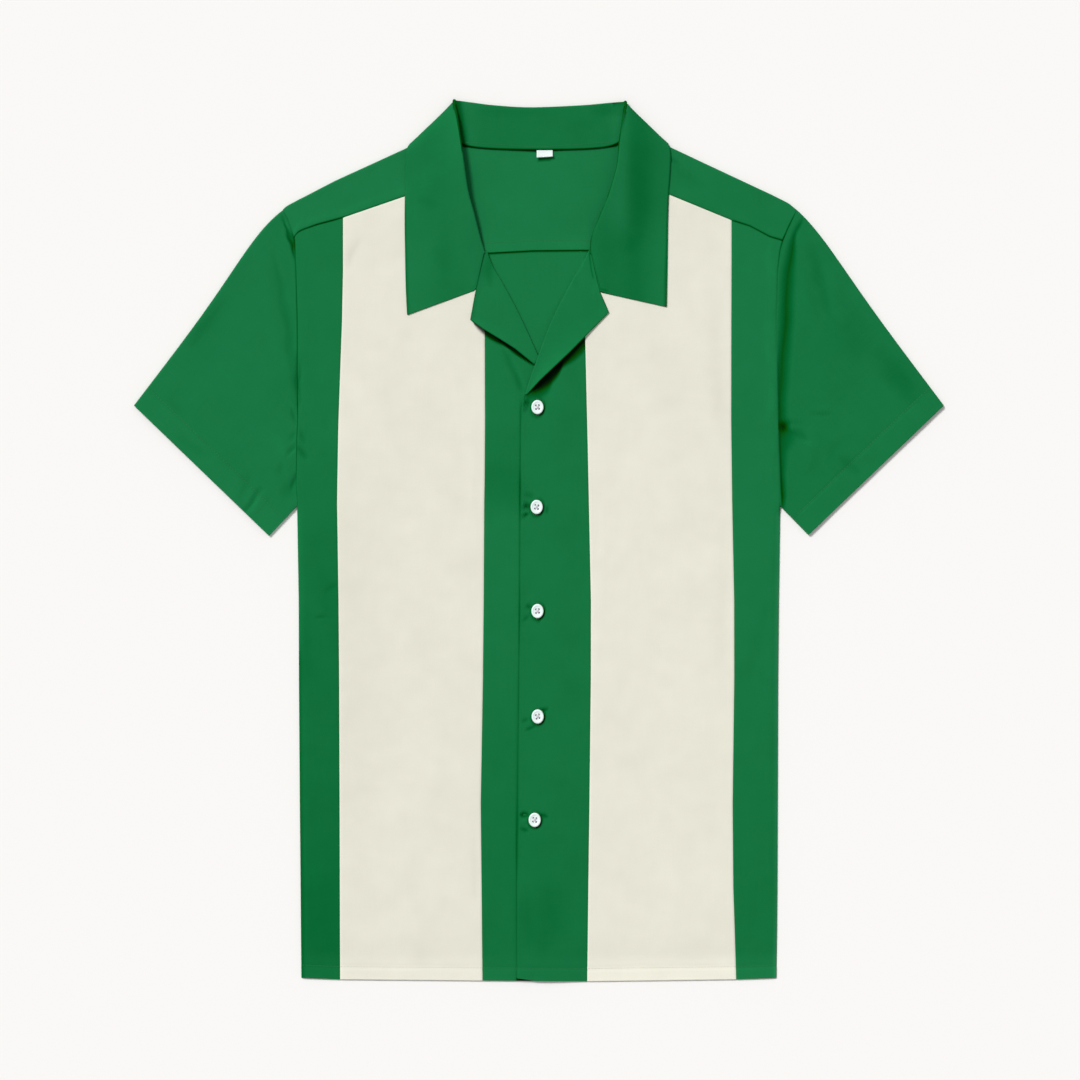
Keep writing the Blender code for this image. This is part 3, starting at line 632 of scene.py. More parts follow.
# A strip may stop short at the gorge (tuck) or ride up at the closure's corner (cut).
usualStrip = {
    "seams": (True, True), "height": frontHeight, "cut": 0, "tuck": 0,
    "shade": plainTone, "tone": ([0], [1]),
}
# each strip's hem is how much painted light its turned hem gets
strips = {
    "side_front_right": {
        "lines": ("sideRight", "outerRight"), "top": topRight, "step": 2, "shade": sideTone,
        "tone": ([-400, -320, -260, -180, -120, -60, 120, 200], [0.8, 0.79, 0.86, 0.9, 0.885, 0.9, 1, 1]),
        "hem": 0.12, "cloth": (0.050, 0.700, 0.0285, ["back"]),
    },
    "panel_right": {
        "lines": ("outerRight", "innerRight"), "top": topRight, "step": 2.3, "shade": panelTone, "tuck": 4,
        "tone": ([-400, 0, 300], [0.99, 0.99, 1]),
        "hem": 0.055, "cloth": (0.140, 0.735, 0.0935, ["back"]),
    },
    "centre_front_right": {
        "lines": ("innerRight", "under"), "top": topRight, "step": 1.5, "seams": (True, False),
        "shade": underTone,
        "tone": (
            [-400, -340, -300, -250, -190, -110, -10, 22, 40, 52, 62, 75, 95, 110],
            [0.92, 0.9, 0.9, 0.92, 0.94, 0.99, 1.03, 1.01, 0.93, 0.9, 0.9, 0.945, 0.96, 1],
        ),
        "hem": 0.1, "cloth": (0.070, 0.665, 0.0400, ["back"]),
    },
    "side_front_left": {
        "lines": ("outerLeft", "sideLeft"), "top": topLeft, "step": 2, "shade": sideTone,
        "tone": ([-400, -330, -140, -95, 60, 200], [0.93, 0.93, 0.985, 1.01, 1.03, 1.03]),
        "hem": 0.15, "cloth": (0.052, 0.700, 0.0315, ["back"]),
    },
    "panel_left": {
        "lines": ("innerLeft", "outerLeft"), "top": topLeft, "step": 2.3, "tuck": 4,
        "hem": 0.09, "cloth": (0.142, 0.735, 0.0945, ["back"]),
    },
    "centre_front_left": {
        "lines": ("edge", "innerLeft"), "top": topLeft, "step": 1.3, "seams": (False, True),
        "height": overlapHeight, "shade": overTone, "cut": 2.6,
        "tone": ([-400, -340, -250, -200, -20, 200], [0.92, 0.915, 0.93, 0.95, 0.98, 1]),
        "hem": 0.08, "cloth": (0.068, 0.665, 0.0385, ["centre_front_right"]),
    },
}


def layStrip(strip):
    top, step, seams, hem = (strip[key] for key in ("top", "step", "seams", "hem"))

    def sides(y):
        return [bodyX(name, y) for name in strip["lines"]]

    first, last = sides(-100.0)
    rowStep = frontLook["rowStep"] * min(1, step / 1.9)
    u, v = np.meshgrid(spread(last - first, step, *seams), spread(frontLook["length"], rowStep))
    y = -400 + 600 * v  # a first guess
    for turn in range(9):  # x and y settle together
        first, last = sides(y)
        x = first + (last - first) * u
        bottom = lineY(hemLine, x) + strip["cut"] * np.clip((-2.5 - x) / 17, 0, 1)
        y = bottom + (lineY(top, x) - strip["tuck"] * ease(1 - (abs(x) - 50) / 16) - bottom) * v
    first, last = sides(y)
    z = strip["height"](x, y)
    for on, distance in ((seams[0], x - first), (seams[1], last - x), (True, lineY(top, x) - y)):
        if on:
            z = z - frontLook["seamDip"] * bell(distance, frontLook["seamWidth"])
    tone = np.interp(y, *strip["tone"]) * strip["shade"](x, y) * creaseTone(x, y, frontLook["creases"])
    up = aboveHem(x, y)  # painted light: the turned hem is double and lies flatter, so it is lighter
    tone = tone * (1 + hem * (0.6 * ease((27 - up) / 12) + 0.4 * ease((frontLook["hemStitch"] - up) / 1.5)))
    return patchOf(x, y, z, tone)


def makeFronts():
    pieces = []
    for node, strip in strips.items():
        finish, slot = (creamCloth, "cream_cloth") if node[:5] == "panel" else (greenCloth, "green_cloth")
        pieces.append(sewCloth("cloth_" + node, [layStrip(usualStrip | strip)], finish))
        declare(pieces[-1], node)
    return pieces


fronts = makeFronts()
print("fronts laid")

# The back: flat on the floor, its inside showing through the open neck.
backLook = {
    "step": 4,
    "width": 440,
    "seamRows": 18,  # close to the yoke's seam
    "hemY": -397.4,
    "topY": 267,
    "lift": 0.25,
    "tone": 1.03,
    "seamShade": (0.72, 0.9, 1.1),  # painted shadow under the yoke's edge: how dark, how far under it, how wide
    "cloth": (0.442, 0.665, 0.2900, []),
    "creases": [
        (-22, 252, -8, 214, 6, 0.35), (30, 238, 12, 206, 4, 0.3), (150, 230, 120, -40, 12, 0.6, 8),
        (-160, 180, -110, -120, 12, 0.6, -8), (-60, -150, 20, -330, 14, 0.5, 6),
    ],
}


def backHeight(x, y):
    lift = backLook["lift"] * (1 + softNoise(x, y * 0.5, 120, 11))
    lift = lift * ease(fromSide(x, y) / 14) * ease((y - backLook["hemY"]) / 16)
    return layers["back"] + np.clip(lift + creaseHeight(x, y, backLook["creases"]), 0, 0.8)


def backSeamY(x):  # the inside seam isn't quite level
    return layers["backYokeY"] + np.interp(x, [-90, -47, -5, 40, 90], [0, -1.6, 0.7, 1.1, 0])


def makeBack():
    height = backLook["topY"] - backLook["hemY"]
    up = spread(height, backLook["step"], True, False)[:-2]
    up = np.concatenate([up, np.linspace(up[-1], 1, backLook["seamRows"])[1:]])
    u, v = np.meshgrid(spread(backLook["width"], backLook["step"]), up)
    y = backLook["hemY"] + height * v
    x = bodyX("sideRight", y) * (1 - u) + bodyX("sideLeft", y) * u
    dark, under, wide = backLook["seamShade"]
    tone = backLook["tone"] * (1 - dark * bell(y - backSeamY(x) + under, wide))
    piece = sewCloth("cloth_back", [patchOf(x, y, backHeight(x, y), tone)], greenCloth)
    declare(piece, "back")


makeBack()
print("back laid")

# The yoke: back yoke, over both shoulders and down to the front seams.
yokeLook = {
    "step": 3,
    "shoulder": 150,  # about, as the next three are, to set how many rows there are
    "neck": 174,
    "backLength": 100,
    "flapLength": 40,
    "seamRise": 0.6,  # its turned edge lies on the back's
    "stitch": 8.7,  # of the inside topstitch above that seam
    "insideTone": 1.06,
    "labelShade": (-1, 347.6, 12.5, 348.6, 1.7, 0.75),  # painted shadow under the label's free end
    "flapTone": ([-200, 0, 200], [1.08, 1.04, 0.995]),
    "neckShade": 0.85,
    "cloth": (0.475, 0.190, 0.0505, ["back", "collar"]),
}


def yokeX(column, y):  # between the armholes, with both neck edges upright
    right, left = bodyX("sideRight", y), bodyX("sideLeft", y)
    neckRight, neckLeft = layers["neckX"]
    return np.select([column < 0.3, column <= 0.7], [
        right + (neckRight - right) * column / 0.3,
        neckRight + (neckLeft - neckRight) * (column - 0.3) / 0.4,
    ], neckLeft + (left - neckLeft) * (column - 0.7) / 0.3)


def yokeBackHeight(x, y):
    near = ease((152 - abs(x)) / 30)
    climb = near * ease(1 - (lineY(fallLine, x) - y - 14) / 40)
    up = y - backSeamY(x)
    seam = yokeLook["seamRise"] * ease(1 - up / 12) - 0.15 * bell(up - yokeLook["stitch"], 1)
    lift = 0.2 + 0.2 * softNoise(x, y, 70, 21)
    lift = lift * ease((lineY(shoulderLine, x) - y) / 20)
    return layers["back"] + (layers["yokeNeck"] - layers["back"]) * climb + seam + lift * (1 - 0.6 * climb)


def yokeTops(across):  # the shoulder fold, and the height of the cloth just under it
    x = yokeX(across, 330.0)
    for turn in range(8):
        x = yokeX(across, lineY(shoulderLine, x))
    y = lineY(shoulderLine, x)
    low = yokeBackHeight(x, y - 1.5)
    return y, low, (layers["front"] - low) / 2


def yokeBackPatch(across):
    u, v = np.meshgrid(across, spread(yokeLook["backLength"], yokeLook["step"]))
    topY, low, radius = yokeTops(u)
    bottom = backSeamY(yokeX(u, layers["backYokeY"])) - 0.5
    y = bottom + (topY - radius - bottom) * v
    x = yokeX(u, y)
    blend = ease((v - 0.9) / 0.1)
    z = yokeBackHeight(x, y) * (1 - blend) + low * blend
    # painted shade along the neck seam and the yoke's lower edge, and painted shadow under the label
    neck = ease((80 - abs(x)) / 6) * bell(topY - radius - y, 1.1)
    tone = (1 - yokeLook["neckShade"] * neck) * (1 - 0.7 * bell(y - bottom, 0.55))
    x0, y0, x1, y1, wide, dark = yokeLook["labelShade"]
    under = ease((x - x0 + 1) / 1.5) * ease((x1 + 1 - x) / 1.5)
    under = under * bell(y - y0 - (y1 - y0) * (x - x0) / (x1 - x0), wide)
    tone = tone * (1 - dark * under) * creaseTone(x, y, [])
    return patchOf(x, y, z, yokeLook["insideTone"] * tone)


def yokeFlapPatch(across, seamLine):
    down = 1 + spread(yokeLook["flapLength"], 1.8, False)[1:]
    u, v = np.meshgrid(across, np.concatenate([np.linspace(0, 1, 13), down]))
    topY, low, radius = yokeTops(u)
    flap = v > 1
    turn = np.pi * np.clip(v, 0, 1)
    foldY = topY - radius + radius * np.sin(turn)
    foldZ = layers["front"] - radius - radius * np.cos(turn)
    y = topY - radius
    for again in range(6):
        x = yokeX(u, y)
        y = np.where(flap, (topY - radius) * (2 - v) + lineY(seamLine, x) * (v - 1), foldY)
    x = yokeX(u, y)
    toSeam = y - lineY(seamLine, x)
    z = np.where(flap, layers["front"] + frontWaves(x, y) * ease((v - 1) * 5), foldZ)
    z = z + flap * (0.45 * bell(toSeam - 3, 4.5) - 0.5 * bell(toSeam, 0.8))
    green = ease((abs(x) - 177) / 1.5)
    tone = creaseTone(x, y, frontLook["creases"])
    # painted shade of the yoke and armhole seams
    tone = tone - flap * yokeShade(x, toSeam) * (0.2 + 0.8 * green)
    tone = tone * (1 - (v > 0.8) * armholeShade(x, y))
    tone = tone * np.interp(x, *yokeLook["flapTone"])
    return np.stack([x, y, z], -1), np.stack([x, 2 * topY - y], -1), tone


def makeYoke():
    shoulder = spread(yokeLook["shoulder"], yokeLook["step"]) * 0.3
    neck = 0.3 + 0.4 * spread(yokeLook["neck"], yokeLook["step"], False, False)
    columns = np.concatenate([shoulder, neck[1:-1], 0.7 + shoulder])
    flaps = [yokeFlapPatch(shoulder, topRight), yokeFlapPatch(0.7 + shoulder, topLeft)]
    piece = sewCloth("cloth_yoke", [yokeBackPatch(columns), *flaps], greenCloth)
    declare(piece, "yoke")
    return piece


yoke = makeYoke()
print("yoke laid")

# The sleeves: flattened tubes from the armholes to the cuffs.
sleeveLook = {
    "front": 3.3,
    "back": 0.36,
    "lowest": 1.05,  # of the upper layer, where it touches the lower one
    "step": 2,
    "length": 230,
    "width": 170,
    "foldSteps": 10,
    "hem": 20.5,
    "hemSwell": 0.2,
    "hemGroove": 0.22,
    "seamDip": (0.1, 0.5),  # everywhere, and more where the seam's painted shade is strong
    "sag": 0.5,  # of the upper layer between its folds
    "under": 0.2,
    "wave": 0.6,
    "waveSize": 48,
    "valleyDepth": 2.2,
    # painted shade in the valley beside the armhole
    "valleyShade": 0.85,
    "valleyRise": 0.65,  # how straight its far side is
    "cloth": (0.546, 0.230, 0.0500, []),
    "right": {
        "node": "sleeve_right", "side": "sideRight", "shoulderY": 300.8,
        "outer": (-368.4, 123.1), "inner": (-245.6, 4.7), "fullness": 4.4,
        "tone": 1.02, "foldPaintedLight": 0.9, "seed": 41,
        "valley": [  # a dip with painted shade beside the armhole: y, start, deepest, end, depth
            (28, 0, 0.5, 2, 0), (250, 0, 0.5, 2, 0), (255, 0, 0.5, 2, 0.1), (260, 0, 1.2, 3, 0.5),
            (265, 0, 1.9, 4.2, 0.78), (269, -1.5, 1.7, 4.8, 0.86), (273, -10, 4.6, 7, 0.62),
            (276, -10, 5.4, 7.8, 0.56), (280, -2, 4.6, 6.4, 0.52), (284, 2, 3.9, 5.6, 0.45),
            (287, 2.8, 4.5, 6.2, 0.52), (290, 2.4, 4.2, 6, 0.33), (293, 1.5, 4, 7.5, 0.24),
            (296, 1.5, 3, 6, 0.15), (300, 1, 3, 5, 0),
        ],
        "creases": [
            (-243, 268, -217, 110, 5, -0.7, 3), (-256, 262, -236, 160, 6.5, 0.5, 3),
            (-219.2, 172, -217.9, 119, 2.2, -0.95), (-224, 122, -220, 106, 2, -0.8),
            (-230, 89, -221, 101, 2, -0.6), (-231.5, 76, -221.5, 89, 1.7, -1.2),
            (-227.5, 44.5, -218, 63, 1.9, -1.1), (-235, 39, -221, 53, 6, -0.5),
            (-240, 57, -234, 69, 3, -0.35), (-238, 108, -228, 56, 6, 0.5, 2),
            (-272.5, 21, -251, 48, 2.4, -1.1), (-266, 18, -246, 44, 4, 0.45), (-275, 34, -262, 60, 4, -0.3),
            (-345, 120, -300, 88, 7, 0.6, -3), (-338, 106, -296, 76, 6, -0.4, -3),
            (-341, 131, -319, 105, 4, -0.3), (-280, 226, -319, 174, 7, -0.5),
        ],
    },
    "left": {
        "node": "sleeve_left", "side": "sideLeft", "shoulderY": 301,
        "outer": (368.4, 123.1), "inner": (245.5, 5.5), "fullness": 3,
        "tone": 0.97, "foldPaintedLight": 0.2, "seed": 47,
        "valley": [
            (28, 0, 1.7, 5, 0.3), (33, 0, 1.7, 6, 0.6), (40, 0, 1.7, 7.5, 0.78), (60, -1.5, 1.5, 7.5, 0.59),
            (80, -0.8, 0.9, 11, 0.53), (92, -6, 1.2, 21, 0.51), (97, -8, 2.4, 19, 0.6),
            (99.5, -8, 3.2, 17, 0.74), (101.5, -12, 5.2, 12.5, 1.02), (105.5, -16, 5.2, 12.5, 1.06),
            (107.5, -14, 4, 15, 0.78), (110, -12, 2.6, 12, 0.55), (113, -12, 2.6, 11, 0.55),
            (125, -9, 2.2, 11, 0.54), (144, -7, 3.5, 13, 0.57), (170, -2, 4.8, 15.3, 0.59),
            (199, 0.3, 8.7, 18, 0.61), (220, 0.5, 8.3, 18.3, 0.6), (240, 1, 9.5, 18.3, 0.56),
            (255, 2.4, 11.1, 17.6, 0.6), (265, 4, 11.3, 16.3, 0.6), (273, 4.5, 10.1, 13.4, 0.55),
            (280, 4.6, 8.4, 12, 0.41), (287, 4, 9.3, 12.4, 0.43), (293, 5.6, 8.6, 11.6, 0.18),
            (299, 5.6, 8.6, 11, 0),
        ],
        "creases": [
            (244, 272, 266, 200, 6, -0.6, 2), (258, 262, 280, 196, 7, 0.7, 2),
            (276, 216, 300, 160, 16, -0.4, -3), (306, 176, 346, 122, 12, -0.75),
            (282, 158, 330, 122, 9, 0.4, -3), (238, 244, 252, 196, 6, 0.9), (250, 104, 243, 62, 8, 0.9),
            (225, 108.5, 243, 106.5, 1.8, -0.6), (225, 101.5, 253, 85, 4.2, -0.9),
            (226, 92.5, 262, 78, 2, 0.35), (246, 115.2, 268, 114.6, 1.3, -0.7),
            (245, 119.4, 267, 118.4, 2.4, 0.5), (272, 76, 294, 60, 5, -0.6), (284, 86, 304, 72, 5, 0.6),
            (300, 222, 322, 180, 8, 0.7), (262, 66, 284, 98, 6, -0.3, 3),
        ],
    },
}
sleeveNear = np.concatenate([[0, 0.25, 0.5, 0.8, 1.2, 1.8], np.arange(2.4, 17, 0.8)])  # close by the armhole


def sleeveOutline(sleeve, down, out):  # a place: down from the shoulder, out from the armhole, 0 to 1
    (outerX, outerY), (innerX, innerY) = sleeve["outer"], sleeve["inner"]
    y = sleeve["shoulderY"] + (layers["armpitY"] - sleeve["shoulderY"]) * down
    x = bodyX(sleeve["side"], y)
    proud = sleeve["fullness"] * out * (1 - out) ** 5 / 0.067 * (1 - down)  # most at a sixth of the way
    x = x + (outerX + (innerX - outerX) * down - x) * out + np.sign(outerX) * 0.8 * proud
    return x, y + (outerY + (innerY - outerY) * down - y) * out + 0.6 * proud


def sleeveHollow(sleeve, y, fromSeam):  # how deep the valley beside the armhole is, 0 to 1
    places, *columns = np.array(sleeve["valley"]).T
    start, deepest, finish, depth = (np.interp(y, places, column) for column in columns)
    before = np.clip((fromSeam - start) / (deepest - start), 0, 1) ** 1.2
    after = np.clip((fromSeam - deepest) / (finish - deepest), 0, 1)
    straight = sleeveLook["valleyRise"]
    after = straight * after + (1 - straight) * ease(after)
    return depth * np.where(fromSeam < deepest, before, 1 - after)


def makeSleeve(sleeve):
    look, length = sleeveLook, sleeveLook["length"]
    outer, inner = np.array(sleeve["outer"]), np.array(sleeve["inner"])
    steps = int(look["width"] / look["step"])
    fold = np.linspace(0, 1, look["foldSteps"] + 1)[1:]  # round it: top, inner fold, underside, outer fold
    columns = [np.linspace(0, 1, steps + 1), 1 + fold, 2 + np.linspace(0, 1, steps // 2 + 1)[1:], 3 + fold]
    rest = length - sleeveNear[-1]
    rows = np.concatenate([sleeveNear, sleeveNear[-1] + (spread(rest, look["step"], False) * rest)[1:]])
    u, v = np.meshgrid(np.concatenate(columns), rows / length)
    middle = (look["front"] + look["back"]) / 2
    radius = (look["front"] - look["back"]) / 2
    (x0, y0), (x1, y1) = sleeveOutline(sleeve, 0 * v, v), sleeveOutline(sleeve, 1 + 0 * v, v)
    end = radius / np.hypot(x1 - x0, y1 - y0)
    part = np.minimum(np.floor(u), 3)
    share = u - part
    turn = np.pi * share
    parts = [part == 0, part == 1, part == 2]
    runs = [end + (1 - 2 * end) * share, 1 - end + end * np.sin(turn), 1 - end - (1 - 2 * end) * share]
    down = np.select(parts, runs, end - end * np.sin(turn))
    lift = np.select(parts, [1, np.cos(turn), -1], -np.cos(turn))
    x, y = sleeveOutline(sleeve, down, v)
    cuff = unit(outer - inner)
    toCuff = abs((y - inner[1]) * cuff[0] - (x - inner[0]) * cuff[1])
    fromSeam = abs(x - bodyX(sleeve["side"], y))
    ax, ay = unit((outer + inner) / 2 - np.array([bodyX(sleeve["side"], 170), 170]))
    along, across = x * ax + y * ay, y * ax - x * ay
    hollow, seam = sleeveHollow(sleeve, y, fromSeam), armholeLine(x, y)
    upper = look["wave"] * softNoise(along * 0.5, across, look["waveSize"], sleeve["seed"])
    upper += creaseHeight(x, y, sleeve["creases"])
    upper -= look["sag"] * ease(v) * np.sin(np.pi * np.clip(down, 0, 1))
    upper += look["hemSwell"] * ease((look["hem"] - toCuff) / 2.5)
    upper -= look["hemGroove"] * bell(toCuff - look["hem"], 1.1)
    upper -= look["valleyDepth"] * hollow * ease(fromSeam / 2.5)
    lower = look["under"] * (1 + softNoise(x, y, 80, 31))
    flatTop = lift > 0.99
    inside = ease(np.minimum(down, 1 - down) * 14)
    z = middle + radius * lift + inside * np.select([flatTop, lift < -0.99], [upper, lower])
    least, more = look["seamDip"]
    z = z - flatTop * (least + more * np.minimum(seam, 0.5)) * bell(v * length, 0.8)
    z = np.where(flatTop, np.maximum(z, look["lowest"]), z)
    top = lift > 0
    tone = sleeve["tone"] * np.where(top, creaseTone(x, y, sleeve["creases"]), 1)
    # painted shade in the seam's groove and in the valley
    tone = tone * (1 - top * seam * bell(v * length, 0.8)) * (1 - top * look["valleyShade"] * hollow)
    # painted light on the turned cuff
    tone = tone * (1 + top * 0.03 * ease((look["hem"] - toCuff) / 3))
    # painted light on the inner fold, lifting the shaded line along its edge
    tone = tone * (1 + sleeve["foldPaintedLight"] * parts[1] * np.sin(turn))
    weave = np.stack([across + 400 * (lift < 0), along], -1)  # the underside's cloth is elsewhere in it
    return sewFace(look | sleeve, np.stack([x, y, z], -1), weave, tone)


def sewFace(look, grid, weave, tone):  # on the right side its rows run the other way
    if look["node"].endswith("right"):
        grid, weave, tone = grid[:, ::-1], weave[:, ::-1], tone[:, ::-1]
    wall = look.get("wall", layers["wall"])
    piece = sewCloth("cloth_" + look["node"], [(grid, weave, tone)], greenCloth, wall)
    declare(piece, look["node"])
    return piece


sleeves = [makeSleeve(sleeveLook["right"]), makeSleeve(sleeveLook["left"])]
print("sleeves laid")

# The collar, section by section from the right gorge round the back to the left
# one: neck seam, roll, a middle point and the outer edge. The last number is the
# side of the stand that the fall lies on, in degrees: 90 above it, -90 under it.
collarLook = {
    "wall": 0.9,
    "stand": 40,  # about, to set how many rows it has
    "standStep": 4,
    "rollRadius": 1.3,
    "steps": 12,
    "rollRows": 11,
    "fallRows": 30,
    "belly": 0.6,  # how much of the fall's drop is in its middle
    "footZ": 1.3,  # of the neck seam's turned edge, hidden under the rolls
    "neckShade": 0.85,
    "edgeShade": 0.3,  # painted shade along the outer edge
    "gorgeShade": (0.5, 0.25, 2.6),  # painted shade at the front edges, at the seam inside them, and how far inside
    # painted shade under the rolls, away from the back
    "underRollShade": 0.5,
    "wave": 0.35,
    "leafBlend": (262, 42),  # from the low painted light and shade to the high one: y, and over how far
    "gorgeX": 62,  # as far out as the gorge seams reach
    # painted light and shade over the leaves, where their slopes face towards or away from the light, at each
    # x
    "leafX": [-118, -98, -86, -74, -62, -50, 50, 60, 66, 72, 78, 84, 90, 97, 103, 108, 118],
    "leafHigh": [
        0.98, 0.95, 0.96, 1.01, 1.06, 0.97, 0.98, 0.99, 1.03, 1.06, 1, 0.85, 0.81, 0.81, 0.87, 0.92, 0.95,
    ],
    "leafLow": [
        1.06, 1.02, 0.95, 0.98, 1.02, 1.06, 0.92, 0.87, 0.88, 0.89, 0.88, 0.84, 0.84, 0.9, 0.95, 0.98, 1,
    ],
    "standTone": 0.965,
    "rollShade": (  # painted shade: the dark line along the left roll
        [228, 236, 245, 262, 272, 281, 288, 295, 302, 308, 314, 322, 335, 350, 362, 372, 390],
        [0, 0.3, 0.35, 0.55, 0.5, 0.1, 0.25, 0.4, 0.4, 0.2, 0.6, 0.35, 0.42, 0.42, 0.7, 0.45, 0.45],
    ),
    "creases": [
        (60, 352, 76, 300, 5, 0.5), (86, 372, 95, 264, 8, -0.3), (72, 262, 96, 282, 7, -0.4),
        (-112, 312, -92, 304, 5, -0.4), (-98, 268, -80, 242, 8, -0.35), (-60, 390, 10, 392, 5, -0.35),
        (20, 372, 60, 384, 6, -0.35), (-40, 372, -10, 368, 5, 0.3),
    ],
    "standShadow": (0.5, 0.12),  # painted shadow on the stand's right and left ends, beside the rolls
    "standShade": (  # the right roll's x at each y
        [352, 358, 370, 382, 397],
        [-69.5, -70, -71.5, -73.5, -76],
    ),
    "node": "collar",
    "cloth": (0.560, 0.110, 0.0480, ["yoke", "panel_right", "panel_left"]),
    "sections": [
        ((-51.5, 263.6, 1.9), (-49.1, 261.6, 2.8), (-57.6, 228.2, 4.3), (-119.6, 205.6, 4.6), 90),
        ((-58.5, 277, 2.6), (-53.6, 276.4, 5), (-73, 250, 5.6), (-120.8, 232, 4.6), 90),
        ((-68, 294, 3.2), (-58.6, 296, 7.8), (-82, 278, 7), (-121.4, 262, 4.6), 90),
        ((-78, 311, 3.6), (-64.2, 317, 10), (-90, 303, 7.9), (-121.8, 290, 4.4), 90),
        ((-85, 329, 3.9), (-67.8, 340, 11.2), (-95, 328, 8.2), (-121.6, 316, 4.3), 85),
        ((-87.5, 347, 4.1), (-71, 364, 10.6), (-99, 351, 7.8), (-121.2, 337, 4.35), 75),
        ((-87.5, 363, 4.4), (-74.4, 386, 8.4), (-101, 369, 6.7), (-120.6, 352.6, 4.6), 50),
        ((-84.2, 376, 4.1), (-77.8, 400, 4.6), (-96.6, 380.4, 3.5), (-118, 360, 3), 0),
        ((-78.6, 371, 3.4), (-75, 400.2, 2.5), (-93, 377, 0.8), (-114, 359.6, 0.6), -60),
        ((-69.5, 361, 2.9), (-62.5, 398.8, 1.85), (-78, 364, 0.5), (-93, 344, 0.5), -90),
        ((-47, 357, 2.9), (-42, 396.2, 1.85), (-46, 360, 0.5), (-50, 329, 0.5), -90),
        ((-2, 355.9, 2.9), (-8, 394.2, 1.85), (-4, 358, 0.5), (0, 323.5, 0.5), -90),
        ((47, 356.8, 2.9), (38, 396, 1.85), (44, 360, 0.5), (48, 328.5, 0.5), -90),
        ((69.5, 360.8, 2.9), (63.5, 398.2, 1.85), (79, 364, 0.5), (94, 344, 0.5), -90),
        ((79.6, 370.6, 3.4), (76.6, 399, 2.5), (94, 377, 0.8), (115, 359.6, 0.6), -60),
        ((86, 375.4, 4.1), (79.6, 398.6, 4.6), (97.4, 380.2, 3.5), (117.8, 360.4, 3), 0),
        ((89.4, 363, 4.4), (76.4, 385, 8.4), (102, 369, 6.7), (119.6, 352.8, 4.9), 50),
        ((89.4, 347, 4.1), (72.9, 363, 10.6), (99, 351, 7.8), (119.4, 337, 4.6), 75),
        ((87, 329, 3.9), (70.7, 341, 11.2), (95, 328, 8.2), (118, 316, 4.7), 85),
        ((78, 310, 3.6), (63, 314, 10), (89, 302, 7.9), (117.2, 292, 4.6), 90),
        ((66, 292, 3.2), (55.2, 295, 7.8), (80, 279, 7), (116.8, 264, 4.6), 90),
        ((56, 276.6, 2.6), (48, 276, 5), (69, 252, 5.6), (116.4, 238, 4.6), 90),
        ((48.8, 263.8, 1.9), (46.8, 261, 2.8), (55.4, 226.4, 4.4), (116, 213, 4.6), 90),
    ],
}


def through(points, places):  # a smooth curve through rows of points, 0 at the first
    spans = len(points) - 1
    padded = np.concatenate([points[:1] * 2 - points[1:2], points, points[-1:] * 2 - points[-2:-1]])
    index = np.minimum((places * spans).astype(int), spans - 1)
    share = (places * spans - index).reshape((-1,) + (1,) * (points.ndim - 1))
    before, start, end, after = (padded[index + k] for k in range(4))
    square = before - start * 2.5 + end * 2 - after / 2
    cube = (start - end) * 1.5 + (after - before) / 2
    return start + (end - before) / 2 * share + square * share**2 + cube * share**3


def distanceAlong(points):  # from the first row of points
    steps = np.linalg.norm(np.diff(points, axis=0), axis=-1)
    return np.concatenate([0 * steps[:1], np.cumsum(steps, 0)])


def collarSection(section, corner):  # neck seam, stand, roll, then the fall to its edge
    look = collarLook
    neck, roll, middle, edge = (np.array(point, float) for point in section[:4])
    lean = math.radians(section[4])
    out = unit((edge - roll) * (1, 1, 0)) * math.cos(lean) + np.array([0, 0, math.sin(lean)])
    tip = roll - neck
    tip = unit(tip - out * tip.dot(out))
    radius = look["rollRadius"]
    angles = np.radians(np.linspace(-90, 90, look["rollRows"]))[:, None]
    bend = roll - tip * radius + (tip * np.cos(angles) + out * np.sin(angles)) * radius
    up = spread(look["stand"], look["standStep"], True, False)[:-1, None]
    stand = neck + (bend[0] - neck) * up
    foot = neck - (0, 0, 0.3)
    if section[4] >= 50:
        foot = neck + (roll - neck) * 0.2
        foot[2] = look["footZ"]
    top = bend[-1]
    places = np.linspace(0, 1, look["fallRows"] + 1)[1:]
    smooth = through(np.array([top, middle, edge]), places)
    if section[4] == 90:
        swing = top[2] + (edge[2] - top[2]) * ease(places)
        smooth[:, 2] += look["belly"] * (swing - smooth[:, 2])
    first = np.linalg.norm(middle - top)
    cut = first / (first + np.linalg.norm(edge - middle))
    straight = np.stack([np.interp(places, [0, cut, 1], run) for run in zip(top, middle, edge)], 1)
    return np.concatenate([foot[None], stand, bend, smooth * (1 - corner) + straight * corner])


def makeCollar():
    look, spans = collarLook, len(collarLook["sections"]) - 1
    rows = [collarSection(row, float(k in (0, spans))) for k, row in enumerate(look["sections"])]
    front = np.array([0.02, 0.045, 0.07, 0.1, 0.14, 0.18, 0.22, 0.27, 0.33]) / spans
    places = [np.linspace(0, 1, spans * look["steps"] + 1), front, 1 - front]
    places = np.unique(np.concatenate(places))  # closer by both front edges
    grid = through(np.array(rows), places).transpose(1, 0, 2)
    grid[..., 2] = np.maximum(grid[..., 2], 0.5)
    down = distanceAlong(grid)
    down = down - down[1]  # from the neck seam
    fold = len(grid) - look["rollRows"] - look["fallRows"]  # its first row
    along = distanceAlong(grid[fold + 20]) + 0 * down
    tone = collarTone(grid, places, down, fold)
    fall = grid[fold + look["rollRows"] // 2:]
    onFall = np.linspace(0, 1, len(fall))[:, None]
    swell = look["wave"] * softNoise(fall[..., 0], fall[..., 1], 38, 61)
    fall[..., 2] += swell * np.sin(np.pi * onFall) ** 0.5 * ease(fall[..., 2] - 3)
    return sewFace(look, grid, np.stack([along, down], -1), tone)


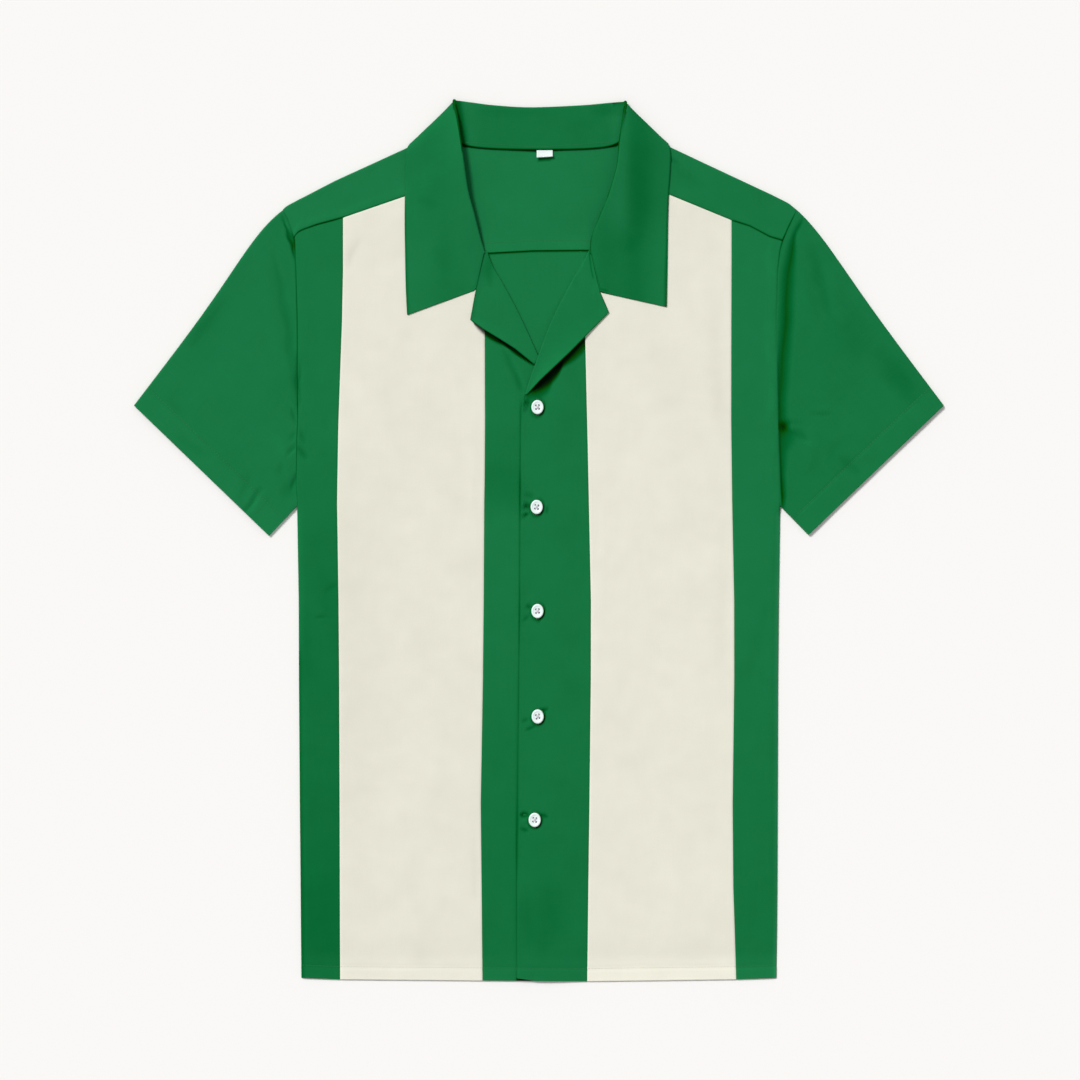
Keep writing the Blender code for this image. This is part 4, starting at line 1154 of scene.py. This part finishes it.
def collarTone(grid, places, down, fold):
    look, x, y = collarLook, grid[..., 0], grid[..., 1]
    start, rise = look["leafBlend"]
    high = ease((y - start) / rise)
    # painted light and shade over the leaves
    tone = np.interp(x, look["leafX"], look["leafHigh"]) * high
    tone = tone + np.interp(x, look["leafX"], look["leafLow"]) * (1 - high)
    tone = tone * creaseTone(x, y, look["creases"])
    # painted shade at the neck seam, along the outer edge, at the gorges, along the left roll, under the
    # rolls and on the stand beside them
    tone = tone * (1 - look["neckShade"] * ease((78 - abs(x)) / 8) * bell(down, 0.9))
    fade = 1 - 0.9 * (x < 0) * ease((y - 296) / 20)  # fainter high on the right leaf
    tone = tone * (1 - look["edgeShade"] * bell(down[-1] - down, 0.5) * fade)
    ends = grid[:, :1], grid[:, -1:]
    fromFront = np.minimum(*(np.linalg.norm(grid - end, axis=-1) for end in ends))
    gorge = (abs(x) < look["gorgeX"]) * (down > 6) * np.where(x < 0, 0.5, 1)
    edge, seam, apart = look["gorgeShade"]
    tone = tone * (1 - gorge * (edge * bell(fromFront, 0.6) + seam * bell(fromFront - apart, 0.6)))
    turned = (np.arange(len(grid)) - fold) / (look["rollRows"] - 1)
    bent = turned[:, None] * 180 - 90 + 0 * x  # degrees round the roll, 90 on top
    side = (places > 0.6) * np.interp(y, *look["rollShade"])
    tone = tone * (1 - side * ease((bent + 95) / 10) * (1 - ease((bent - 35) / 45)))
    underneath = (bent < -30) * (abs(places - 0.5) > 0.2)
    stand = bent < 60
    tone = tone * np.where(underneath, look["underRollShade"], 1)
    tone = tone * np.where(stand & (abs(x) < 66), look["standTone"], 1)
    rightDark, leftDark = look["standShadow"]
    fromRoll = x - np.interp(y, *look["standShade"])
    tone = tone * (1 - rightDark * stand * (x < 0) * ease((y - 350) / 6) * (1 - ease((fromRoll - 1.5) / 7)))
    return tone * (1 - leftDark * stand * (x > 0) * ease((y - 384) / 6) * ease((x - 40) / 20))


collar = makeCollar()
print("collar set")

# The lapels: from the gorge to the break. Each row is the roll, the free edge, and
# the heights of the two.
lapelLook = {
    "wall": 0.7,
    "width": 34,  # about, to set how many rows there are
    "step": 1.2,
    "radius": 0.55,
    "curl": 2.4,  # above 1 the lift is kept near the free edge
    "clear": 0.8,  # from the front's cloth to the lapel's
    # painted shade along the free edge
    "edgeShade": 0.35,
    "right": {
        "node": "lapel_right", "over": frontHeight, "tone": (1, 1.03, 1.04), "ridge": 0,
        "creases": [(-47, 272, -45, 228, 5, -1.2)],
        "rows": [
            ((-46.8, 262), (-49.6, 264), 2.6, 2.8), ((-41.6, 249), (-53.6, 244), 2.4, 3.9),
            ((-33.4, 234.8), (-58, 224), 2.35, 4.8), ((-25, 219.6), (-62.2, 201), 2.35, 4.9),
            ((-18, 206), (-50.4, 192.6), 2.35, 6.4), ((-10.6, 190.2), (-36, 183.9), 2.35, 6.6),
            ((-4.6, 177), (-21.7, 174.9), 2.3, 4.8), ((-0.3, 167.6), (-4, 160.6), 2.1, 2.3),
        ],
        "cloth": (0.060, 0.115, 0.0029, ["centre_front_right"]),
    },
    "left": {
        "node": "lapel_left", "over": overlapHeight, "tone": (1.01, 1, 0.97), "ridge": 0.28,
        "creases": [(30, 264, 33, 226, 4, -0.4)],
        "rows": [
            ((45.6, 264), (49.6, 267), 2.6, 2.9), ((38.8, 249.4), (51.6, 246), 2.8, 3.4),
            ((30.8, 236.6), (55.6, 226), 3.1, 4.4), ((20.4, 217.6), (63.5, 207.6), 3.5, 4.9),
            ((12.6, 201.6), (46, 190), 3.7, 5.6), ((5.6, 184.6), (28, 171.6), 4, 8),
            ((-0.8, 167), (13.6, 157.8), 4.3, 10.4), ((-7.4, 148.6), (0.6, 145.6), 5.1, 8.2),
            ((-12.2, 133.4), (-11, 133), 5.6, 5.7),
        ],
        "cloth": (0.062, 0.160, 0.0037, ["centre_front_left"]),
    },
}


def makeLapel(lapel):
    look, rows = lapelLook, lapel["rows"]
    last = len(rows) - 1
    radius = look["radius"]
    rolls = np.array([(*row[0], row[2] - radius) for row in rows], float)
    edges = np.array([(*row[1], row[3]) for row in rows], float)
    spots = np.linspace(0, last, last * 14 + 1)
    places = spots / last
    roll, edge = through(rolls, places), through(edges, places)
    for axis in (0, 1):
        edge[:, axis] = np.interp(spots, np.arange(last + 1), edges[:, axis])
    out = unit((roll - edge) * (1, 1, 0))
    centre, up = roll - out * radius, np.array([0, 0, 1])
    turns = np.radians(np.linspace(-90, 90, 9))
    bend = [centre + (out * math.cos(a) + up * math.sin(a)) * radius for a in turns]
    top = bend[-1]
    fall = []
    for share in 1 - spread(look["width"], look["step"], True, False)[:-1][::-1]:
        spot = top + (edge - top) * share
        spot[:, 2] = top[:, 2] + (edge[:, 2] - top[:, 2]) * share ** look["curl"]
        below = lapel["over"](spot[:, 0], spot[:, 1]) + look["clear"]
        spot[:, 2] = np.maximum(spot[:, 2], top[:, 2] + (below - top[:, 2]) * ease(share * 4))
        fall.append(spot)
    grid = np.array(bend + fall)
    fromEdge = np.linalg.norm(grid - grid[-1:], axis=-1)
    across = fromEdge / np.maximum(fromEdge[:1], 0.5)
    # painted light and shade across the lapel, from its roll to its free edge, and painted shade along that
    # edge
    tone = np.interp(1 - across, [0.05, 0.3, 1], lapel["tone"])
    tone = tone * (1 - look["edgeShade"] * bell(fromEdge, 0.45))
    gorge = ease((grid[..., 1] - 236) / 5)
    # a dark line 4.2 in from the free edge, high up by the gorge
    tone = tone * (1 - lapel["ridge"] * gorge * bell(fromEdge - 4.2, 0.8))
    tone = tone * creaseTone(grid[..., 0], grid[..., 1], lapel["creases"])
    sewFace(look | lapel, grid, grid[..., :2], tone)


makeLapel(lapelLook["right"])
makeLapel(lapelLook["left"])
print("lapels turned")

# The buttons: turned, dished and drilled, sewn on with violet thread.
buttonLook = {
    "profile": [  # from the middle of the underside to the middle of the dish
        (0, 0), (4.4, 0), (5.1, 0.15), (5.7, 0.6), (6, 1.2), (5.92, 1.7), (5.65, 2.2), (5.3, 2.45),
        (4.75, 2.5), (4.3, 2.38), (3.9, 2.2), (3.45, 2.03), (2.75, 2), (0, 1.9),
    ],
    "dishZ": 2,
    "holeRadius": 0.85,
    "holeOffset": 1.45,
    "holeSegments": 18,
    "segments": 56,
    "sharp": 35,  # degrees between faces, from which an edge stays sharp
    "turns": [4, -7, 3, 11, -5],  # degrees, one a button
    "shank": 0.35,  # from the cloth to the button
    "threadRadius": 0.19,
    "threadPath": [(0, 0.2), (0, 1.45), (0.15, 2.02), (0.65, 2.25)],  # in from a hole's middle, and up
    "threadTop": 2.3,
    "threadApart": 0.24,  # of each strand from the diagonal
    "crossOver": 0.25,  # how much higher the second pair runs
    "colour": (0.885, 0.985, 0.96),
    "cloud": (0.80, 0.93, 0.915),
    "thread": (0.92, 0.81, 0.90),
}


def objectPlace(make):
    return make.add("ShaderNodeTexCoord", (), "Object")


def pearlFinish():
    make = Nodes("whiteButton")
    place = objectPlace(make)
    cloud = make.noise(make.scaled(place, 1, 0.35, 1), 420, 3, 0.6)
    shade = make.mix(cloud, buttonLook["cloud"], buttonLook["colour"])
    rough = make.math("MULTIPLY_ADD", cloud, 0.15, 0.16)
    return make.finish({
        "Base Color": shade,
        "Roughness": rough,
        "Normal": make.bump(0.4, 0.00002, make.noise(place, 2600, 2)),
        "Specular IOR Level": 0.5,
        "Coat Weight": 0.35,
        "Coat Roughness": 0.08,
        "Subsurface Weight": 0.08,
        "Subsurface Radius": (0.001, 0.001, 0.001),
    })


def threadFinish(name, colour):
    make = Nodes(name)
    fibres = make.noise(objectPlace(make), 3200, 2)
    shade = make.mix(fibres, [0.55 * level for level in colour], colour)
    bump = make.bump(0.6, 0.00006, fibres)
    return make.finish({"Base Color": shade, "Normal": bump, "Roughness": 0.6, "Sheen Weight": 0.1})


pearl = pearlFinish()
violetThread = threadFinish("violetThread", buttonLook["thread"])
greenThread = threadFinish("greenThread", (0.008, 0.20, 0.06))
creamThread = threadFinish("creamThread", (0.85, 0.83, 0.72))


def turnedButton():  # round, about z, with its underside at z = 0
    mesh = bmesh.new()
    points = [mesh.verts.new((r * mm, 0, z * mm)) for r, z in buttonLook["profile"]]
    edges = [mesh.edges.new(pair) for pair in zip(points, points[1:])]
    parts = dict(cent=(0, 0, 0), axis=(0, 0, 1), dvec=(0, 0, 0), angle=2 * math.pi)
    bmesh.ops.spin(mesh, geom=points + edges, steps=buttonLook["segments"], use_merge=True, **parts)
    bmesh.ops.remove_doubles(mesh, verts=mesh.verts, dist=0.00001)
    bmesh.ops.recalc_face_normals(mesh, faces=mesh.faces)
    return mesh


def linkMesh(name, mesh):  # an object from a bmesh
    data = bpy.data.meshes.new(name)
    mesh.to_mesh(data)
    mesh.free()
    return intoScene(name, data)


def takeMesh(piece, *helpers):  # the finished mesh of a piece that is then thrown away
    mesh = bpy.data.meshes.new_from_object(piece.evaluated_get(bpy.context.evaluated_depsgraph_get()))
    for thing in (piece, *helpers):
        bpy.data.objects.remove(thing)
    return mesh


def drilledButton():
    button, drill = linkMesh("buttonBlank", turnedButton()), bmesh.new()
    offset, radius = buttonLook["holeOffset"] * mm, buttonLook["holeRadius"] * mm
    for sx, sy in ((-1, -1), (-1, 1), (1, -1), (1, 1)):
        place = Matrix.Translation((sx * offset, sy * offset, 0))
        size = dict(segments=buttonLook["holeSegments"], radius1=radius, radius2=radius, depth=0.02)
        bmesh.ops.create_cone(drill, cap_ends=True, matrix=place, **size)
    cutter = linkMesh("buttonDrill", drill)
    button.modifiers.new("holes", "BOOLEAN").object = cutter
    return takeMesh(button, cutter)


def threadTube(path, side, radius):  # rings of a tube along a short path that keeps to one plane
    path = np.array(path)
    up = np.cross(unit(np.gradient(path, axis=0)), side)
    turn = np.linspace(0, 2 * np.pi, 9)[:-1, None]  # eight sides
    rings = path[:, None] + radius * (side * np.cos(turn) + up[:, None] * np.sin(turn))
    points = np.concatenate([rings.reshape(-1, 3), path[:1], path[-1:]])
    count, last = len(turn), (len(path) - 1) * len(turn)
    faces = []
    for ring in range(len(path) - 1):
        for k in range(count):
            a, b = ring * count + k, ring * count + (k + 1) % count
            faces.append((a, b, b + count, a + count))
    for k in range(count):
        faces.append(((k + 1) % count, k, last + count))
        faces.append((last + k, last + (k + 1) % count, last + count + 1))
    return points, faces


def addThreads(threads, place):  # two strands over each diagonal pair of holes
    reach, clear = buttonLook["holeOffset"] * math.sqrt(2), buttonLook["dishZ"] + 0.2
    apart, radius = buttonLook["threadApart"], buttonLook["threadRadius"]
    spots = [(inward - reach, z) for inward, z in buttonLook["threadPath"]]
    spots += [(0, buttonLook["threadTop"])] + [(-along, z) for along, z in spots[::-1]]
    for degrees, over in ((45, 0), (135, buttonLook["crossOver"])):
        ahead = np.array([math.cos(math.radians(degrees)), math.sin(math.radians(degrees)), 0])
        side = np.array([-ahead[1], ahead[0], 0])
        for strand in (-apart, apart):
            heights = [z + over * (z > clear) for _, z in spots]
            path = [ahead * spot[0] + side * strand + (0, 0, z) for spot, z in zip(spots, heights)]
            points, faces = threadTube(path, side, radius)
            corners = [threads.verts.new(place @ Vector(point * mm)) for point in points]
            for face in faces:
                threads.faces.new([corners[k] for k in face])


def makeButtons():
    blank = drilledButton()
    threads = bmesh.new()
    for node, (x, y), degrees in zip(buttonNodes, buttonSpots, buttonLook["turns"]):
        base = float(overlapHeight(np.array(x), np.array(y))) + layers["wall"] / 2 + buttonLook["shank"]
        place = Matrix.Translation(Vector((x, y, base)) * mm) @ Matrix.Diagonal((*buttonOval, 1, 1))
        place = place @ Matrix.Rotation(math.radians(degrees), 4, "Z")
        mesh = blank.copy()
        mesh.transform(place)
        mesh.shade_smooth()
        mesh.set_sharp_from_angle(angle=math.radians(buttonLook["sharp"]))
        mesh.materials.clear()
        mesh.materials.append(pearl)
        declare(intoScene("pearl_" + node, mesh), node)
        addThreads(threads, place)
    bmesh.ops.recalc_face_normals(threads, faces=threads.faces)
    sewn = linkMesh("button_threads", threads)
    sewn.data.shade_smooth()
    sewn.data.materials.append(violetThread)
    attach(sewn, "root")


makeButtons()
print("buttons sewn on")

# The label: a bare folded tape in the neck seam.
labelLook = {
    "left": -1.9,
    "right": 12.5,
    "top": 357.4,
    "bottom": 348.6,
    "rise": 0.95,  # over the yoke
    "lift": 2.4,  # of its folded end
    "wall": 0.24,
    "fold": 0.42,
    "skew": 0.9,
    "pitch": 0.00035,
    "colour": (0.82, 0.925, 0.885),
    "cloth": (0.0154, 0.0145, None, ["yoke"]),
}


def tapeFinish():
    make = Nodes("labelTape")
    place = make.add("ShaderNodeAttribute", (), "Vector", attribute_name="weave")
    across, along, _ = make.ribs(place, labelLook["pitch"])
    ribs = make.math("MULTIPLY_ADD", make.math("SINE", along), 0.5, 0.5)
    twill = make.math("SINE", make.math("ADD", across, along))
    surface = make.math("MULTIPLY_ADD", twill, 0.25, ribs)
    shade = make.mix(surface, [0.86 * level for level in labelLook["colour"]], labelLook["colour"])
    bump = make.bump(0.5, 0.00005, surface)
    return make.finish({"Base Color": shade, "Normal": bump, "Roughness": 0.42, "Sheen Weight": 0.15})


def makeLabel():
    look = labelLook
    run = look["top"] - look["bottom"]
    u, down = np.meshgrid(np.linspace(0, 1, 17), np.linspace(0, 1, 14))
    x = look["left"] + (look["right"] - look["left"]) * u
    y = look["top"] - (run - look["fold"] - look["skew"] * u) * down
    base = layers["yokeNeck"] + look["rise"]
    front = np.stack([x, y, base + look["lift"] * down**2 * (0.75 + 0.25 * (2 * u - 1) ** 2)], -1)
    turns = np.radians(np.linspace(90, -90, 9))[1:]
    fold = [front[-1] + np.array([0, -math.cos(a), math.sin(a) - 1]) * look["fold"] for a in turns]
    behind = front[-2:4:-1] - np.array([0, 0, 2 * look["fold"]])
    behind[..., 2] = np.maximum(behind[..., 2], base - 0.35)
    grid = np.concatenate([front, fold, behind])
    weave = np.stack([grid[..., 0], -distanceAlong(grid)], -1)
    piece = sewCloth("tape_label", [(grid[::-1], weave[::-1], 1.0)], tapeFinish(), look["wall"])
    declare(piece, "label")


makeLabel()
print("label sewn in")

# Stitches: one tree lays them along a path, dropped onto the cloth below.
stitchLook = {
    "hem": {"pitch": 2.9, "length": 2.2, "width": 0.5},
    "neck": {"pitch": 2.3, "length": 1.5, "width": 0.6, "up": 2.8, "reach": 66},
    "buttonhole": {"pitch": 0.42, "length": 1.35, "width": 0.46, "reach": 7.6, "apart": 0.75},
    "greenHems": [(-214.5, -183), (-49.8, -20), (-17.6, 43), (181.5, 214.5)],
    "creamHems": [(-179.8, -53), (45.6, 178)],
    "ball": {"Segments": 8, "Rings": 5, "Radius": 0.5},  # stretched to each stitch's size
    "jitter": 0.07,  # of each stitch's direction, in radians
    "above": 0.05,  # how high the path is dropped from, in metres
}


def stitchTree():
    tree = bpy.data.node_groups.new("stitchRow", "GeometryNodeTree")
    inputs = {"Path": "Geometry", "Cloth": "Object", "Pitch": "Float", "Length": "Float", "Width": "Float"}
    inputs |= {"Turn": "Float", "Seed": "Int", "Thread": "Material"}
    for name, kind in inputs.items():
        tree.interface.new_socket(name, in_out="INPUT", socket_type="NodeSocket" + kind)
    tree.interface.new_socket("Stitches", in_out="OUTPUT", socket_type="NodeSocketGeometry")

    def add(kind, links=(), out=0, **settings):
        return addNode(tree, kind, links, **settings).outputs[out]

    given = addNode(tree, "NodeGroupInput").outputs
    curve = add("GeometryNodeMeshToCurve", {"Mesh": given["Path"]})
    even = add("GeometryNodeResampleCurve", {"Curve": curve, "Length": given["Pitch"]}, mode="LENGTH")
    points = addNode(tree, "GeometryNodeCurveToPoints", {"Curve": even}, mode="EVALUATED").outputs
    high = {0: add("GeometryNodeInputPosition"), 1: (0, 0, stitchLook["above"])}
    start = add("ShaderNodeVectorMath", high, operation="ADD")
    cloth = add("GeometryNodeObjectInfo", {"Object": given["Cloth"]}, "Geometry")
    drop = {"Target Geometry": cloth, "Source Position": start}
    drop |= {"Ray Direction": (0, 0, -1), "Ray Length": 0.2}
    hit = addNode(tree, "GeometryNodeRaycast", drop).outputs
    missed = add("FunctionNodeBooleanMath", {0: hit["Is Hit"]}, operation="NOT")
    kept = add("GeometryNodeDeleteGeometry", {"Geometry": points["Points"], "Selection": missed})
    laid = add("GeometryNodeSetPosition", {"Geometry": kept, "Position": hit["Hit Position"]})
    axes = {"Primary Axis": hit["Hit Normal"], "Secondary Axis": points["Tangent"]}
    facing = add("FunctionNodeAxesToRotation", axes, primary_axis="Z", secondary_axis="X")
    jitter = {"Seed": given["Seed"], 2: -stitchLook["jitter"], 3: stitchLook["jitter"]}
    wobble = add("FunctionNodeRandomValue", jitter, 1, data_type="FLOAT")
    angle = add("ShaderNodeMath", {0: given["Turn"], 1: wobble}, operation="ADD")
    spin = add("FunctionNodeAxisAngleToRotation", {"Axis": (0, 0, 1), "Angle": angle})
    both = {"Rotation": facing, "Rotate By": spin}
    turned = add("FunctionNodeRotateRotation", both, rotation_space="LOCAL")
    size = add("ShaderNodeCombineXYZ", {"X": given["Length"], "Y": given["Width"], "Z": given["Width"]})
    ball = add("GeometryNodeMeshUVSphere", stitchLook["ball"])
    stitch = add("GeometryNodeTransform", {"Geometry": ball, "Scale": size})
    sewn = add("GeometryNodeInstanceOnPoints", {"Points": laid, "Instance": stitch, "Rotation": turned})
    real = add("GeometryNodeRealizeInstances", {"Geometry": sewn})
    smooth = add("GeometryNodeSetShadeSmooth", {"Geometry": real})
    finished = add("GeometryNodeSetMaterial", {"Geometry": smooth, "Material": given["Thread"]})
    addNode(tree, "NodeGroupOutput", {"Stitches": finished})
    return tree


stitchRow = stitchTree()
stitchInputs = {item.name: item.identifier for item in stitchRow.interface.items_tree}


def sewRows(name, rows, pieces, thread, size, seed, turn=0.0):  # rows: lists of x, y places
    mesh, ground = bmesh.new(), bmesh.new()
    for row in rows:
        points = [mesh.verts.new((x * mm, y * mm, 0)) for x, y in row]
        for pair in zip(points, points[1:]):
            mesh.edges.new(pair)
    path = linkMesh(name + "Path", mesh)
    for piece in pieces:  # the cloth that the stitches are dropped onto
        ground.from_mesh(piece.data)
    ground = linkMesh("stitchGround", ground)
    modifier = path.modifiers.new("stitches", "NODES")
    modifier.node_group = stitchRow
    values = {"Cloth": ground, "Thread": thread, "Turn": turn, "Seed": seed}
    values |= {"Pitch": size["pitch"] * mm, "Length": size["length"] * mm, "Width": size["width"] * mm}
    for key, value in values.items():
        modifier[stitchInputs[key]] = value
    mesh = takeMesh(path, ground)
    mesh.name = name
    piece = intoScene(name, mesh)
    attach(piece, "root")
    corners = stitchLook["ball"]["Segments"] * (stitchLook["ball"]["Rings"] - 1) + 2
    print(name, "has", len(mesh.vertices) // corners, "stitches")


def alongHem(start, end):
    return [(x, lineY(hemLine, x) + frontLook["hemStitch"]) for x in np.linspace(start, end, 12)]


def alongCuff(sleeve):
    outer, inner = np.array(sleeve["outer"]), np.array(sleeve["inner"])
    cuff = unit(outer - inner)
    inward = np.array([-cuff[1], cuff[0]]) * np.sign(cuff[0])
    return [tuple(inner + cuff * run + inward * sleeveLook["hem"]) for run in (-14, 60, 171)]


def buttonholes():  # two upright rows behind each button
    reach, apart = stitchLook["buttonhole"]["reach"], stitchLook["buttonhole"]["apart"]
    sides = [(x + side * apart, y) for x, y in buttonSpots for side in (-1, 1)]
    return [[(x, y - reach), (x, y + reach)] for x, y in sides]


def sewStitches():
    hem = stitchLook["hem"]
    green, cream = ([alongHem(*ends) for ends in stitchLook[key]] for key in ("greenHems", "creamHems"))
    sewRows("stitches_hem_green", green, fronts, greenThread, hem, 3)
    sewRows("stitches_hem_cream", cream, fronts, creamThread, hem, 4)
    cuffs = [alongCuff(sleeveLook["right"]), alongCuff(sleeveLook["left"])]
    sewRows("stitches_cuffs", cuffs, sleeves, greenThread, hem, 5)
    inside = [(x, float(backSeamY(x)) + yokeLook["stitch"]) for x in np.linspace(-70, 70, 9)]
    sewRows("stitches_yoke", [inside], [yoke], greenThread, hem, 6)
    look = stitchLook["neck"]
    places = np.linspace(-look["reach"], look["reach"], 13)
    neck = [(x, float(lineY(shoulderLine, x)) + look["up"]) for x in places]
    sewRows("stitches_neck", [neck], [collar], greenThread, look, 7)
    holes = stitchLook["buttonhole"]
    sewRows("stitches_buttonholes", buttonholes(), fronts[-1:], greenThread, holes, 8, math.pi / 2)


sewStitches()
print("stitches sewn")

# Light and floor
studio = {
    "floor": (0.949, 0.9305, 0.915),
    "floorReach": 15,
    "around": 0.424,
    "horizon": 0.95,
    "horizonHeight": 0.2,
    "sun": 2.53,
    "sunFrom": (-0.55, 0.65, 0.9),
    "sunWidth": 16,  # degrees
}


def makeStudio():
    mesh, reach = bpy.data.meshes.new("floor"), studio["floorReach"]
    corners = [(x * reach, y * reach, 0) for x, y in ((-1, -1), (1, -1), (1, 1), (-1, 1))]
    mesh.from_pydata(corners, [], [(0, 1, 2, 3)])
    colour = (*studio["floor"], 1)
    paper = Nodes("palePaper").finish({"Base Color": colour, "Roughness": 1, "Specular IOR Level": 0})
    mesh.materials.append(paper)
    intoScene("floor", mesh)
    data = bpy.data.lights.new("softSun", "SUN")
    data.energy = studio["sun"]
    data.angle = math.radians(studio["sunWidth"])
    sun = intoScene("softSun", data)
    sun.rotation_mode = "QUATERNION"
    sun.rotation_quaternion = Vector(studio["sunFrom"]).to_track_quat("Z", "Y")
    world = bpy.data.worlds.new("studio")
    bpy.context.scene.world = world
    world.use_nodes = True
    tree = world.node_tree  # paler towards the horizon, like a studio's sweep
    direction = addNode(tree, "ShaderNodeTexCoord").outputs["Generated"]
    parts = addNode(tree, "ShaderNodeSeparateXYZ", {0: direction})
    sweep = {"Value": parts.outputs["Z"], "From Max": studio["horizonHeight"]}
    sweep |= {"To Min": studio["horizon"], "To Max": studio["around"]}
    level = addNode(tree, "ShaderNodeMapRange", sweep, interpolation_type="SMOOTHSTEP")
    feed(tree, tree.nodes["Background"], {"Strength": level.outputs["Result"], "Color": (1, 1, 1, 1)})
    bpy.context.scene.view_settings.view_transform = "Standard"


makeStudio()
print("studio lit")
